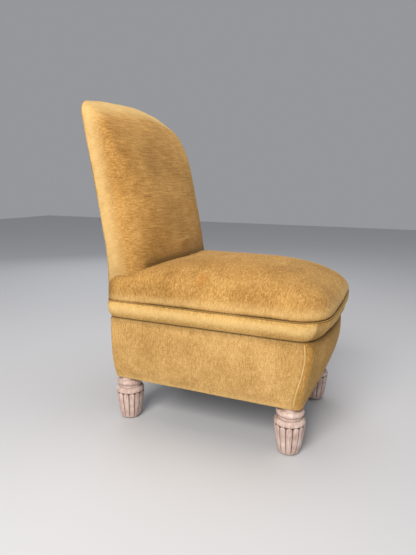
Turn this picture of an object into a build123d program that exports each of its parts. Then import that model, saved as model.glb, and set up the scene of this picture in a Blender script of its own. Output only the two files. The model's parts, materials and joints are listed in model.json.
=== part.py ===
from build123d import *
import os
from math import cos, pi, radians, sin, sqrt

os.makedirs("parts", exist_ok=True)

# Armless upholstered cocktail chair: a timber frame on four short turned, fluted legs, a coil-sprung
# seat with a domed crown, a boxed border and a swelling apron, and a raked, padded back.
# Millimetres, +Z up, the front faces -Y, the sitter's right is -X, the origin is under the middle.

# Legs
LEG_SPACING_X = 306.0
LEG_SPACING_Y = 425.0
LEG_SHIFT_Y = -5.85
GLIDE_HEIGHT = 3.0
GLIDE_RADIUS = 22.0
GLIDE_NAIL_RADIUS = 1.5
GLIDE_NAIL_LENGTH = 14.0
FOOT_RADIUS = 25.3
BARREL_RADIUS = 36.0
BARREL_HEIGHT = 72.0
BARREL_SWELL = 2.2
SHOULDER_HEIGHT = 11.0
NECK_RADIUS = 28.5
NECK_HEIGHT = 6.0
NECK_HOLLOW = 1.2
COLLAR_HEIGHT = 14.0
COLLAR_SWELL = 4.0
SPIGOT_RADIUS = 21.0
SPIGOT_HEIGHT = 14.0
TENON_RADIUS = 12.0
TENON_LENGTH = 40.0
FLUTE_COUNT = 14
FLUTE_RADIUS = 1.7
FLUTE_END_GAP = 4.0

# Seat frame
POST_SIZE = 44.0
POST_CORNER_RADIUS = 12.0
RAIL_THICKNESS = 25.0
RAIL_HEIGHT = 160.0
DOWEL_RADIUS = 5.0
DOWEL_LENGTH = 40.0
DOWEL_LOW = 55.0
DOWEL_HIGH = 130.0
BRACE_LEG = 34.0
BRACE_LOW = 75.0
BRACE_HEIGHT = 30.0
BRACE_SCREW_RADIUS = 2.2
BRACE_SCREW_HEAD_RADIUS = 4.2
BRACE_SCREW_LENGTH = 38.0
BRACE_SCREW_SPACING = 14.0
FIT_CLEARANCE = 0.05

# Seat suspension
STRAP_WIDTH = 50.0
STRAP_THICKNESS = 2.0
STRAP_PITCH_X = 60.0
STRAP_PITCH_Y = 93.0
STRAP_COUNT = 4
STRAP_LANDING = 18.0
STRAP_RAMP = 18.0
TACK_RADIUS = 1.0
TACK_LENGTH = 13.0
TACK_HEAD_RADIUS = 3.5
TACK_HEAD_HEIGHT = 1.0
SPRING_COUNT = 3
SPRING_PITCH_X = 92.0
SPRING_PITCH_Y = 130.0
SPRING_SHIFT_Y = -9.0
SPRING_RADIUS = 38.0
SPRING_WAIST_RADIUS = 26.0
SPRING_WIRE_RADIUS = 2.0
SPRING_TURNS = 6
LACING_RADIUS = 1.5
LACING_BEND = 12.0
LACING_LANDING = 5.0
SEAT_TRAVEL = 35.0
TRAVEL_CLEARANCE = 2.0
SOFT_GAP = 0.3
HESSIAN_THICKNESS = 1.5

# Upholstery of the seat
COVER = 3.0
SEAT_SIDE_OVERHANG = 38.0
SEAT_FRONT_OVERHANG = 61.0
SEAT_REAR_OVERHANG = 6.0
SEAT_FRONT_BOW = 10.0
SEAT_CORNER_RADIUS = 70.0
SEAT_REAR_RADIUS = 24.0
BORDER_HEIGHT = 44.0
BORDER_SWELL = 3.0
BORDER_BOW = 16.0
LOWER_SEAM_TUCK_SIDE = 11.0
LOWER_SEAM_TUCK_FRONT = 18.0
LOWER_SEAM_BOW = 22.0
LOWER_SEAM_CORNER_RADIUS = 34.0
CROWN_HEIGHT = 97.0
CROWN_FRONT_ROUND = 237.0
CROWN_POWER = 1.7
CROWN_TOP_HALF_WIDTH = 24.0
CROWN_RISES = (0.0, 0.14, 0.3, 0.48, 0.66, 0.82, 0.93, 0.985)
WADDING = 8.0
ROLL_WIDTH_SIDE = 54.0
ROLL_WIDTH_FRONT = 84.0
ROLL_WIDTH_REAR = 24.0
ROLL_CLEARANCE = 1.0
CROWN_CORNER_RADIUS = 40.0
WELT_RADIUS = 2.6
WELT_INSET = 0.6

# Apron
HEM_DROP = 6.0
APRON_REAR_PAD = 1.5
APRON_CORNER_RADIUS = 18.0
APRON_REAR_RADIUS = 10.0
HEM_WIDTH = 24.0
HEM_LEG_GAP = 1.0
# Each level of the apron: share of its height, side padding, front padding, bow of the front
APRON_LEVELS = (
    (0.0, 3.0, 9.0, 4.0),
    (0.22, 14.0, 26.0, 18.0),
    (0.61, 22.0, 47.0, 25.0),
    (1.0, 20.0, 48.0, 28.0),
)

# Back
BACK_RAKE = 10.3
BACK_LENGTH = 488.0
BACK_SETBACK = -12.8
BACK_LIFT = 3.0
BACK_SIDE_PAD = 19.0
BACK_EDGE_DEPTH = 52.0
BACK_CROWN = 74.0
BACK_DEPTHS = (0.0, 18.0, 36.0, 52.0, 74.0, 92.0, 108.0, 118.0, 124.0)
BACK_TOP_FLAT = 15.0
BACK_TOP_ROUND = 500.0
BACK_LOW_TOP = 110.0
BACK_TOP_BOW = 17.5
BACK_CORNER_RADIUS = 26.0
BACK_CORNER_GROWTH = 0.15
BACK_PIPE_GAP = 5.0
FOLD_LIFT = 12.0
FOLD_INSET = 1.0
BACK_COVER_LOW = 8.0
LOW_FRONT_HALF = 110.0
LOW_FRONT_TOP = 130.0
BACK_POST_DEPTH = 36.0
BACK_LINING = 3.0
BACK_TOP_PAD = 58.0
BACK_HESSIAN_MARGIN = 12.0
CREST_HEIGHT = 80.0
CREST_CORNER_RADIUS = 36.0
STAY_LOW = 24.0
STAY_HEIGHT = 60.0
STAY_THICKNESS = 25.0
STAY_DOWEL_SPACING = 30.0
BACK_STRAP_PITCH_X = 84.0
BACK_STRAP_PITCH_V = 78.0
BACK_STRAP_COUNT = 3
BACK_SEAT_GAP = 7.5
TUCK_CLEARANCE = 1.0

# Dust cover
DUST_COVER = 1.5
DUST_COVER_INSET = 7.0
DUST_TACKS_X = 5
DUST_TACKS_Y = 3

# Heights worked out from the stack
SPIGOT_BASE_Z = GLIDE_HEIGHT + BARREL_HEIGHT + SHOULDER_HEIGHT + NECK_HEIGHT + COLLAR_HEIGHT
FRAME_Z = SPIGOT_BASE_Z + SPIGOT_HEIGHT
RAIL_TOP_Z = FRAME_Z + RAIL_HEIGHT
UPPER_SEAM_Z = RAIL_TOP_Z + BORDER_HEIGHT
HEM_Z = FRAME_Z - HEM_DROP
HESSIAN_Z = RAIL_TOP_Z + SEAT_TRAVEL + TRAVEL_CLEARANCE
STUFFING_Z = HESSIAN_Z + HESSIAN_THICKNESS

# Plan places worked out from the legs
LEG_X = LEG_SPACING_X / 2
FRONT_LEG_Y = LEG_SHIFT_Y - LEG_SPACING_Y / 2
REAR_LEG_Y = LEG_SHIFT_Y + LEG_SPACING_Y / 2
FRAME_HALF = LEG_X + POST_SIZE / 2
FRAME_FRONT = FRONT_LEG_Y - POST_SIZE / 2
FRAME_REAR = REAR_LEG_Y + POST_SIZE / 2
POST_INNER_X = LEG_X - POST_SIZE / 2
POST_INNER_FRONT = FRONT_LEG_Y + POST_SIZE / 2
POST_INNER_REAR = REAR_LEG_Y - POST_SIZE / 2
RAIL_INNER_X = FRAME_HALF - RAIL_THICKNESS
RAIL_INNER_FRONT = FRAME_FRONT + RAIL_THICKNESS
RAIL_INNER_REAR = FRAME_REAR - RAIL_THICKNESS
SIDE_RAIL_X = FRAME_HALF - RAIL_THICKNESS / 2
FRONT_RAIL_Y = FRAME_FRONT + RAIL_THICKNESS / 2
REAR_RAIL_Y = FRAME_REAR - RAIL_THICKNESS / 2
SEAT_HALF = FRAME_HALF + SEAT_SIDE_OVERHANG
SEAT_FRONT = FRAME_FRONT - SEAT_FRONT_OVERHANG
SEAT_REAR = FRAME_REAR + SEAT_REAR_OVERHANG

# The back's own plane: x across, y up the rake, z forward; its raked rear face is at depth 0
# and folds into an upright rear face, flush with the seat's, near the bottom
RAKE = radians(BACK_RAKE)
BACK_HALF = FRAME_HALF + BACK_SIDE_PAD + COVER
BACK_DEPTH = BACK_EDGE_DEPTH + BACK_CROWN
BACK_BASE_Y = FRAME_REAR + BACK_SETBACK
BACK_BASE_Z = UPPER_SEAM_Z + BACK_LIFT
BACK_PLANE = Plane(
    origin=(0, BACK_BASE_Y, BACK_BASE_Z), x_dir=(1, 0, 0), z_dir=(0, -cos(RAKE), sin(RAKE))
)
POST_REAR_DEPTH = COVER + BACK_LINING
POST_FRONT_DEPTH = POST_REAR_DEPTH + BACK_POST_DEPTH
CREST_TOP = BACK_LENGTH - BACK_TOP_PAD
CREST_BASE = CREST_TOP - CREST_HEIGHT
BACK_HESSIAN_DEPTH = POST_FRONT_DEPTH + 2 * STRAP_THICKNESS
POCKET_DEPTH = BACK_HESSIAN_DEPTH + HESSIAN_THICKNESS

FOLD_ROOM = SEAT_REAR - BACK_BASE_Y
TALL = BACK_BASE_Z + BACK_LENGTH
CORNERS = (
    ("front_right", -LEG_X, FRONT_LEG_Y),
    ("front_left", LEG_X, FRONT_LEG_Y),
    ("rear_right", -LEG_X, REAR_LEG_Y),
    ("rear_left", LEG_X, REAR_LEG_Y),
)

pieces = []


def keep(block, name):
    """Label a finished piece and put it on the list of pieces to write."""
    block.part.label = name
    pieces.append(block.part)


def spread(count, pitch):
    """Evenly spaced places about zero."""
    return [(i - (count - 1) / 2) * pitch for i in range(count)]


def back_point(up, depth):
    """Row-frame (y, z) of a place in the back's own plane."""
    y = BACK_BASE_Y + up * sin(RAKE) - depth * cos(RAKE)
    z = BACK_BASE_Z + up * cos(RAKE) + depth * sin(RAKE)
    return y, z


def fold_up(depth):
    """Height up the rake where the raked and the upright rear faces meet, at a depth behind them."""
    return (SEAT_REAR - depth - BACK_BASE_Y + depth * cos(RAKE)) / sin(RAKE)


def seat_outline(half, front, bow, rear, front_radius, rear_radius):
    """Plan outline of the seat or apron: straight sides and rear, bowed front, rounded corners."""
    with BuildSketch() as outline:
        with BuildLine():
            Line((-half, rear), (-half, front + bow))
            ThreePointArc((-half, front + bow), (0, front), (half, front + bow))
            Line((half, front + bow), (half, rear))
            Line((half, rear), (-half, rear))
        make_face()
        fillet(outline.vertices().group_by(Axis.Y)[-1], rear_radius)
        fillet(outline.vertices().group_by(Axis.Y)[0], front_radius)
    return outline.sketch


def stacked_loft(levels):
    """Solid lofted through outlines, each given with its plane."""
    with BuildPart() as body:
        for plane, outline in levels:
            with BuildSketch(plane):
                add(outline)
        loft()
    return body.part


def crown_solid(grow):
    """Domed crown above the upper seam, grown or shrunk all round and on top."""
    levels = []
    for rise in CROWN_RISES:
        side_share = sqrt(1 - rise**CROWN_POWER)
        half = CROWN_TOP_HALF_WIDTH + (SEAT_HALF - CROWN_TOP_HALF_WIDTH) * side_share
        front = SEAT_FRONT + CROWN_FRONT_ROUND * (1 - sqrt(1 - rise**2))
        radius = min(SEAT_CORNER_RADIUS, 0.8 * (half + grow))
        outline = seat_outline(
            half + grow, front - grow, SEAT_FRONT_BOW, SEAT_REAR + grow, radius, SEAT_REAR_RADIUS
        )
        levels.append((Plane.XY.offset(UPPER_SEAM_Z + (CROWN_HEIGHT + grow) * rise), outline))
    return stacked_loft(levels)


def border_solid(grow):
    """Boxed band between the lower and the upper seam, swelling between them."""
    lower = seat_outline(
        SEAT_HALF - LOWER_SEAM_TUCK_SIDE + grow,
        SEAT_FRONT + LOWER_SEAM_TUCK_FRONT - grow,
        LOWER_SEAM_BOW,
        SEAT_REAR + grow,
        LOWER_SEAM_CORNER_RADIUS,
        SEAT_REAR_RADIUS,
    )
    middle = seat_outline(
        SEAT_HALF + BORDER_SWELL + grow,
        SEAT_FRONT - grow,
        BORDER_BOW,
        SEAT_REAR + grow,
        SEAT_CORNER_RADIUS,
        SEAT_REAR_RADIUS,
    )
    upper = seat_outline(
        SEAT_HALF + grow,
        SEAT_FRONT - grow,
        SEAT_FRONT_BOW,
        SEAT_REAR + grow,
        SEAT_CORNER_RADIUS,
        SEAT_REAR_RADIUS,
    )
    return stacked_loft(
        [
            (Plane.XY.offset(RAIL_TOP_Z), lower),
            (Plane.XY.offset(RAIL_TOP_Z + BORDER_HEIGHT / 2), middle),
            (Plane.XY.offset(UPPER_SEAM_Z), upper),
        ]
    )


def apron_solid(skin, bottom_z):
    """Swelling apron from a bottom height to the rails' top, as thick as its padding plus a skin."""
    levels = []
    for share, side_pad, front_pad, bow in APRON_LEVELS:
        outline = seat_outline(
            FRAME_HALF + side_pad + skin,
            FRAME_FRONT - front_pad - skin,
            bow,
            FRAME_REAR + APRON_REAR_PAD + skin,
            APRON_CORNER_RADIUS,
            APRON_REAR_RADIUS,
        )
        levels.append((Plane.XY.offset(bottom_z + (RAIL_TOP_Z - bottom_z) * share), outline))
    return stacked_loft(levels)


def back_outline(half, top, radius, bottom=0.0):
    """Front outline of the back: straight sides, slightly bowed top, rounded top corners."""
    with BuildSketch() as outline:
        with BuildLine():
            Line((-half, bottom), (half, bottom))
            Line((half, bottom), (half, top - BACK_TOP_BOW))
            ThreePointArc((half, top - BACK_TOP_BOW), (0, top), (-half, top - BACK_TOP_BOW))
            Line((-half, top - BACK_TOP_BOW), (-half, bottom))
        make_face()
        fillet(outline.vertices().group_by(Axis.Y)[-1], radius)
    return outline.sketch


def back_solid(grow):
    """Padded back: a slab with a crowned front whose edges and top round away."""
    levels = []
    for depth in BACK_DEPTHS:
        share = max(0.0, (depth - BACK_EDGE_DEPTH) / BACK_CROWN)
        reach = max(0.0, (depth - BACK_TOP_FLAT) / (BACK_DEPTH - BACK_TOP_FLAT))
        top_inset = BACK_TOP_ROUND * (1 - sqrt(1 - reach**2))
        top = max(BACK_LENGTH - top_inset, BACK_LOW_TOP) + grow
        half = BACK_HALF * sqrt(1 - share**2) + grow
        radius = min(BACK_CORNER_RADIUS + BACK_CORNER_GROWTH * top_inset, 0.8 * half)
        outline = back_outline(half, top, radius, -grow)
        levels.append((BACK_PLANE.offset(depth + (grow if depth else -grow)), outline))
    with BuildPart() as padded:
        add(stacked_loft(levels))
        with BuildSketch(Plane.YZ):
            with BuildLine():
                fold_y, fold_z = back_point(fold_up(-grow), -grow)
                foot_y, foot_z = back_point(FOLD_LIFT, FOLD_LIFT)
                Polyline(
                    (foot_y, foot_z),
                    (fold_y, foot_z),
                    (fold_y, fold_z - FOLD_LIFT),
                    back_point(fold_up(-grow), FOLD_LIFT),
                    close=True,
                )
            make_face()
        extrude(amount=BACK_HALF + grow - FOLD_INSET, both=True)
    return padded.part


def rear_sheet(low_depth, high_depth, outline):
    """Folded sheet behind the back between two depths, trimmed to an outline in the back's plane."""
    with BuildPart() as sheet:
        with BuildSketch(Plane.YZ):
            with BuildLine():
                Polyline(
                    (SEAT_REAR - low_depth, BACK_BASE_Z),
                    back_point(fold_up(low_depth), low_depth),
                    back_point(BACK_LENGTH, low_depth),
                    back_point(BACK_LENGTH, high_depth),
                    back_point(fold_up(high_depth), high_depth),
                    (SEAT_REAR - high_depth, BACK_BASE_Z),
                    close=True,
                )
            make_face()
        extrude(amount=BACK_HALF, both=True)
        with BuildSketch(BACK_PLANE.offset(-FOLD_ROOM)):
            add(outline)
        extrude(amount=FOLD_ROOM + POST_FRONT_DEPTH, mode=Mode.INTERSECT)
    return sheet.part


def sector(side):
    """Corners of the plan area that belongs to one side, split along 45 degree lines at the legs."""
    reach = SEAT_FRONT_OVERHANG + SEAT_HALF
    inner = {name: (x, y) for name, x, y in CORNERS}
    outer = {
        name: (x + (reach if x > 0 else -reach), y + (reach if y > LEG_SHIFT_Y else -reach))
        for name, x, y in CORNERS
    }
    first, second = {
        "front": ("front_right", "front_left"),
        "left": ("front_left", "rear_left"),
        "rear": ("rear_left", "rear_right"),
        "right": ("rear_right", "front_right"),
    }[side]
    return [inner[first], inner[second], outer[second], outer[first]]


def crown_plan(shrink):
    """Plan outline of the moving crown, inside the edge rolls."""
    return seat_outline(
        SEAT_HALF - ROLL_WIDTH_SIDE - shrink,
        SEAT_FRONT + ROLL_WIDTH_FRONT + shrink,
        SEAT_FRONT_BOW,
        SEAT_REAR - COVER - ROLL_WIDTH_REAR - shrink,
        CROWN_CORNER_RADIUS,
        CROWN_CORNER_RADIUS / 4,
    )


def strap_profile(length, landing):
    """Side profile of a strap whose two ends step up by its own thickness onto a landing."""
    end = length / 2
    foot = end - landing
    top = foot - STRAP_RAMP
    t = STRAP_THICKNESS
    lower = [(-end, 0), (-foot, 0), (-top, t), (top, t), (foot, 0), (end, 0)]
    upper = [(end, t), (foot, t), (top, 2 * t), (-top, 2 * t), (-foot, t), (-end, t)]
    with BuildSketch() as profile:
        with BuildLine():
            Polyline(*lower, *upper, close=True)
        make_face()
    return profile.sketch


def tack_solid():
    """One upholstery tack, driven along +Z with its head's inner face at zero."""
    with BuildPart() as tack:
        with BuildSketch():
            Circle(TACK_RADIUS)
        extrude(amount=TACK_LENGTH)
        with BuildSketch():
            Circle(TACK_HEAD_RADIUS)
        extrude(amount=-TACK_HEAD_HEIGHT)
    return tack.part


def biarc(start, start_tangent, end, end_tangent):
    """Joint of two arcs that leave and arrive along the given unit tangents."""
    chord = end - start
    total = start_tangent + end_tangent
    turn = 2 * (1 - start_tangent.dot(end_tangent))
    along = chord.dot(total)
    reach = (-along + sqrt(along**2 + turn * chord.dot(chord))) / turn
    return (start + start_tangent * reach + end - end_tangent * reach) * 0.5


def spring_place(turn, height):
    """Point on the wire of an hourglass spring, at a count of turns from its foot."""
    share = turn / SPRING_TURNS
    radius = SPRING_WAIST_RADIUS + (SPRING_RADIUS - SPRING_WAIST_RADIUS) * (2 * share - 1) ** 2
    angle = 2 * pi * turn
    return Vector(radius * cos(angle), radius * sin(angle), height * share)


def spring_solid(height):
    """One hourglass coil spring standing on zero, its wire swept through quarter-turn biarcs."""
    step = 1e-4
    rise = height - 2 * SPRING_WIRE_RADIUS
    base = Vector(0, 0, SPRING_WIRE_RADIUS)
    stations = [i / 4 for i in range(4 * SPRING_TURNS + 1)]
    points = [spring_place(t, rise) + base for t in stations]
    tangents = [
        (spring_place(t + step, rise) - spring_place(t - step, rise)).normalized() for t in stations
    ]
    with BuildPart() as spring:
        with BuildLine() as wire:
            for i in range(len(points) - 1):
                joint = biarc(points[i], tangents[i], points[i + 1], tangents[i + 1])
                TangentArc(points[i], joint, tangent=tangents[i])
                TangentArc(points[i + 1], joint, tangent=tangents[i + 1] * -1)
        with BuildSketch(Plane(origin=points[0], z_dir=tangents[0])):
            Circle(SPRING_WIRE_RADIUS)
        sweep(path=wire.wires()[0])
    return spring.part


# Turned leg, standing on its glide, with a round tenon on top
barrel_top = GLIDE_HEIGHT + BARREL_HEIGHT
shoulder_top = barrel_top + SHOULDER_HEIGHT
neck_top = shoulder_top + NECK_HEIGHT
barrel_mid = ((FOOT_RADIUS + BARREL_RADIUS) / 2 + BARREL_SWELL, GLIDE_HEIGHT + BARREL_HEIGHT / 2)
shoulder_mid = (
    NECK_RADIUS + (BARREL_RADIUS - NECK_RADIUS) * cos(pi / 4),
    barrel_top + SHOULDER_HEIGHT * sin(pi / 4),
)
with BuildPart() as turned_leg:
    with BuildSketch(Plane.XZ):
        with BuildLine():
            Line((0, GLIDE_HEIGHT), (FOOT_RADIUS, GLIDE_HEIGHT))
            ThreePointArc((FOOT_RADIUS, GLIDE_HEIGHT), barrel_mid, (BARREL_RADIUS, barrel_top))
            ThreePointArc((BARREL_RADIUS, barrel_top), shoulder_mid, (NECK_RADIUS, shoulder_top))
            ThreePointArc(
                (NECK_RADIUS, shoulder_top),
                (NECK_RADIUS - NECK_HOLLOW, (shoulder_top + neck_top) / 2),
                (NECK_RADIUS, neck_top),
            )
            ThreePointArc(
                (NECK_RADIUS, neck_top),
                (NECK_RADIUS + COLLAR_SWELL, (neck_top + SPIGOT_BASE_Z) / 2),
                (NECK_RADIUS, SPIGOT_BASE_Z),
            )
            Polyline(
                (NECK_RADIUS, SPIGOT_BASE_Z),
                (SPIGOT_RADIUS, SPIGOT_BASE_Z),
                (SPIGOT_RADIUS, FRAME_Z),
                (TENON_RADIUS, FRAME_Z),
                (TENON_RADIUS, FRAME_Z + TENON_LENGTH),
                (0, FRAME_Z + TENON_LENGTH),
                (0, GLIDE_HEIGHT),
            )
        make_face()
    revolve(axis=Axis.Z)
    with BuildLine(Plane.XZ):
        flute_line = ThreePointArc((FOOT_RADIUS, GLIDE_HEIGHT), barrel_mid, (BARREL_RADIUS, barrel_top))
    flute_gap = FLUTE_END_GAP / flute_line.length
    flute_path = flute_line.trim(flute_gap, 1 - flute_gap)
    with BuildSketch(Plane(origin=flute_path @ 0, z_dir=flute_path % 0)) as flute_section:
        Circle(FLUTE_RADIUS)
    flute = sweep(sections=flute_section.sketch, path=flute_path, mode=Mode.PRIVATE)
    with PolarLocations(0, FLUTE_COUNT, start_angle=180 / FLUTE_COUNT):
        add(flute, mode=Mode.SUBTRACT)
    with Locations((0, 0, GLIDE_HEIGHT)):
        Cylinder(
            GLIDE_NAIL_RADIUS + FIT_CLEARANCE,
            GLIDE_NAIL_LENGTH,
            align=(Align.CENTER, Align.CENTER, Align.MIN),
            mode=Mode.SUBTRACT,
        )

for corner, x, y in CORNERS:
    with BuildPart() as leg:
        with Locations((x, y, 0)):
            add(turned_leg.part)
    keep(leg, f"{corner}_leg")

# Nail-on glides under the legs
with BuildPart() as leg_glides:
    for corner, x, y in CORNERS:
        with BuildSketch(Plane.XY):
            with Locations((x, y)):
                Circle(GLIDE_RADIUS)
        extrude(amount=GLIDE_HEIGHT)
        with BuildSketch(Plane.XY):
            with Locations((x, y)):
                Circle(GLIDE_NAIL_RADIUS)
        extrude(amount=GLIDE_HEIGHT + GLIDE_NAIL_LENGTH)
keep(leg_glides, "leg_glides")

# Dowels between the rails and the posts, and the holes that take them
side_joints = [
    (x, y, FRAME_Z + h)
    for x in (-SIDE_RAIL_X, SIDE_RAIL_X)
    for y in (POST_INNER_FRONT, POST_INNER_REAR)
    for h in (DOWEL_LOW, DOWEL_HIGH)
]
cross_joints = [
    (x, y, FRAME_Z + h)
    for x in (-POST_INNER_X, POST_INNER_X)
    for y in (FRONT_RAIL_Y, REAR_RAIL_Y)
    for h in (DOWEL_LOW, DOWEL_HIGH)
]


def dowel_rods(radius):
    """All dowels of the seat frame as one group, at a given radius."""
    with BuildPart() as rods:
        with Locations(*side_joints):
            Cylinder(radius, DOWEL_LENGTH, rotation=(90, 0, 0))
        with Locations(*cross_joints):
            Cylinder(radius, DOWEL_LENGTH, rotation=(0, 90, 0))
    return rods.part


with BuildPart() as rail_dowels:
    add(dowel_rods(DOWEL_RADIUS))
keep(rail_dowels, "rail_dowels")
dowel_holes = dowel_rods(DOWEL_RADIUS + FIT_CLEARANCE)

# Screws that hold the corner braces to the posts, across each corner
brace_places = []
for corner, x, y in CORNERS:
    sign_x = 1 if x > 0 else -1
    sign_y = 1 if y > LEG_SHIFT_Y else -1
    rail_y = RAIL_INNER_REAR if sign_y > 0 else RAIL_INNER_FRONT
    post_y = POST_INNER_REAR if sign_y > 0 else POST_INNER_FRONT
    brace_places.append((corner, sign_x, sign_y, rail_y, post_y))


def brace_screws(radius, head_radius):
    """Countersunk screws of all four corner braces."""
    with BuildPart() as screws:
        for corner, sign_x, sign_y, rail_y, post_y in brace_places:
            near = (sign_x * RAIL_INNER_X, post_y - sign_y * BRACE_LEG)
            far = (sign_x * (POST_INNER_X - BRACE_LEG), rail_y)
            mid_x = (near[0] + far[0]) / 2
            mid_y = (near[1] + far[1]) / 2
            into = Vector(sign_x * abs(near[1] - far[1]), sign_y * abs(far[0] - near[0])).normalized()
            for h in spread(2, BRACE_SCREW_SPACING):
                place = Plane(
                    origin=(mid_x, mid_y, FRAME_Z + BRACE_LOW + BRACE_HEIGHT / 2 + h),
                    z_dir=(into.X, into.Y, 0),
                )
                with BuildSketch(place):
                    Circle(radius)
                extrude(amount=BRACE_SCREW_LENGTH)
                with BuildSketch(place):
                    Circle(head_radius)
                extrude(amount=head_radius - radius, taper=45)
    return screws.part


with BuildPart() as corner_brace_screws:
    add(brace_screws(BRACE_SCREW_RADIUS, BRACE_SCREW_HEAD_RADIUS))
keep(corner_brace_screws, "corner_brace_screws")
screw_holes = brace_screws(
    BRACE_SCREW_RADIUS + FIT_CLEARANCE, BRACE_SCREW_HEAD_RADIUS + FIT_CLEARANCE
)

# Dowels of the back frame and their holes
crest_dowel_depth = (POST_REAR_DEPTH + POST_FRONT_DEPTH) / 2
stay_dowel_depth = POST_FRONT_DEPTH - STAY_THICKNESS / 2


def back_dowel_rods(radius):
    """Dowels from the posts into the crest rail and into the stay rail."""
    with BuildPart() as rods:
        for x in (-LEG_X, LEG_X):
            y, z = back_point(CREST_BASE - DOWEL_LENGTH / 2, crest_dowel_depth)
            with BuildSketch(Plane(origin=(x, y, z), z_dir=(0, sin(RAKE), cos(RAKE)))):
                Circle(radius)
            extrude(amount=DOWEL_LENGTH)
        for x in (-POST_INNER_X, POST_INNER_X):
            for up in spread(2, STAY_DOWEL_SPACING):
                y, z = back_point(STAY_LOW + STAY_HEIGHT / 2 + up, stay_dowel_depth)
                with BuildSketch(Plane(origin=(x, y, z), z_dir=(1, 0, 0))):
                    Circle(radius)
                extrude(amount=DOWEL_LENGTH / 2, both=True)
    return rods.part


with BuildPart() as back_frame_dowels:
    add(back_dowel_rods(DOWEL_RADIUS))
keep(back_frame_dowels, "back_frame_dowels")
back_dowel_holes = back_dowel_rods(DOWEL_RADIUS + FIT_CLEARANCE)

# Rails of the seat frame
for name, x in (("right_side_rail", -SIDE_RAIL_X), ("left_side_rail", SIDE_RAIL_X)):
    with BuildPart() as side_rail:
        with BuildSketch(Plane.XY.offset(FRAME_Z)):
            with Locations((x, LEG_SHIFT_Y)):
                Rectangle(RAIL_THICKNESS, POST_INNER_REAR - POST_INNER_FRONT)
        extrude(amount=RAIL_HEIGHT)
        add(dowel_holes, mode=Mode.SUBTRACT)
    keep(side_rail, name)

for name, y in (("front_rail", FRONT_RAIL_Y), ("rear_rail", REAR_RAIL_Y)):
    with BuildPart() as cross_rail:
        with BuildSketch(Plane.XY.offset(FRAME_Z)):
            with Locations((0, y)):
                Rectangle(2 * POST_INNER_X, RAIL_THICKNESS)
        extrude(amount=RAIL_HEIGHT)
        add(dowel_holes, mode=Mode.SUBTRACT)
    keep(cross_rail, name)

# Front posts, square blocks that take a leg's tenon from below
for name, x in (("front_right_post", -LEG_X), ("front_left_post", LEG_X)):
    with BuildPart() as front_post:
        with BuildSketch(Plane.XY.offset(FRAME_Z)) as post_section:
            with Locations((x, FRONT_LEG_Y)):
                Rectangle(POST_SIZE, POST_SIZE)
            outer_corners = post_section.vertices().group_by(Axis.Y)[0].sort_by(lambda v: -abs(v.X))
            fillet(outer_corners[0], POST_CORNER_RADIUS)
        extrude(amount=RAIL_HEIGHT)
        with BuildSketch(Plane.XY.offset(FRAME_Z)):
            with Locations((x, FRONT_LEG_Y)):
                Circle(TENON_RADIUS + FIT_CLEARANCE)
        extrude(amount=TENON_LENGTH, mode=Mode.SUBTRACT)
        add(dowel_holes, mode=Mode.SUBTRACT)
        add(screw_holes, mode=Mode.SUBTRACT)
    keep(front_post, name)

# Rear posts, upright in the seat frame and raked above it to the crest rail
front_knee_up = (POST_INNER_REAR - BACK_BASE_Y + POST_FRONT_DEPTH * cos(RAKE)) / sin(RAKE)
for name, x in (("rear_right_post", -LEG_X), ("rear_left_post", LEG_X)):
    with BuildPart() as rear_post:
        with BuildSketch(Plane.YZ.offset(x - POST_SIZE / 2)):
            with BuildLine():
                Polyline(
                    (FRAME_REAR, FRAME_Z),
                    back_point(fold_up(POST_REAR_DEPTH), POST_REAR_DEPTH),
                    back_point(CREST_BASE, POST_REAR_DEPTH),
                    back_point(CREST_BASE, POST_FRONT_DEPTH),
                    (POST_INNER_REAR, back_point(front_knee_up, POST_FRONT_DEPTH)[1]),
                    (POST_INNER_REAR, FRAME_Z),
                    close=True,
                )
            make_face()
        extrude(amount=POST_SIZE)
        with BuildSketch(Plane.XY.offset(FRAME_Z)):
            with Locations((x, REAR_LEG_Y)):
                Circle(TENON_RADIUS + FIT_CLEARANCE)
        extrude(amount=TENON_LENGTH, mode=Mode.SUBTRACT)
        add(dowel_holes, mode=Mode.SUBTRACT)
        add(screw_holes, mode=Mode.SUBTRACT)
        add(back_dowel_holes, mode=Mode.SUBTRACT)
    keep(rear_post, name)

# Corner braces, notched round the posts
for corner, sign_x, sign_y, rail_y, post_y in brace_places:
    with BuildPart() as brace:
        with BuildSketch(Plane.XY.offset(FRAME_Z + BRACE_LOW)):
            with BuildLine():
                Polyline(
                    (sign_x * RAIL_INNER_X, post_y),
                    (sign_x * RAIL_INNER_X, post_y - sign_y * BRACE_LEG),
                    (sign_x * (POST_INNER_X - BRACE_LEG), rail_y),
                    (sign_x * POST_INNER_X, rail_y),
                    (sign_x * POST_INNER_X, post_y),
                    close=True,
                )
            make_face()
        extrude(amount=BRACE_HEIGHT)
        add(screw_holes, mode=Mode.SUBTRACT)
    keep(brace, f"{corner}_corner_brace")

# Crest rail across the posts' tops and stay rail between them
with BuildPart() as crest_rail:
    with BuildSketch(BACK_PLANE.offset(POST_REAR_DEPTH)):
        add(back_outline(FRAME_HALF, CREST_TOP, CREST_CORNER_RADIUS, CREST_BASE))
    extrude(amount=BACK_POST_DEPTH)
    add(back_dowel_holes, mode=Mode.SUBTRACT)
keep(crest_rail, "crest_rail")

with BuildPart() as stay_rail:
    with BuildSketch(BACK_PLANE.offset(POST_FRONT_DEPTH - STAY_THICKNESS)):
        with Locations((0, STAY_LOW + STAY_HEIGHT / 2)):
            Rectangle(2 * POST_INNER_X, STAY_HEIGHT)
    extrude(amount=STAY_THICKNESS)
    add(back_dowel_holes, mode=Mode.SUBTRACT)
keep(stay_rail, "stay_rail")

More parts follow.
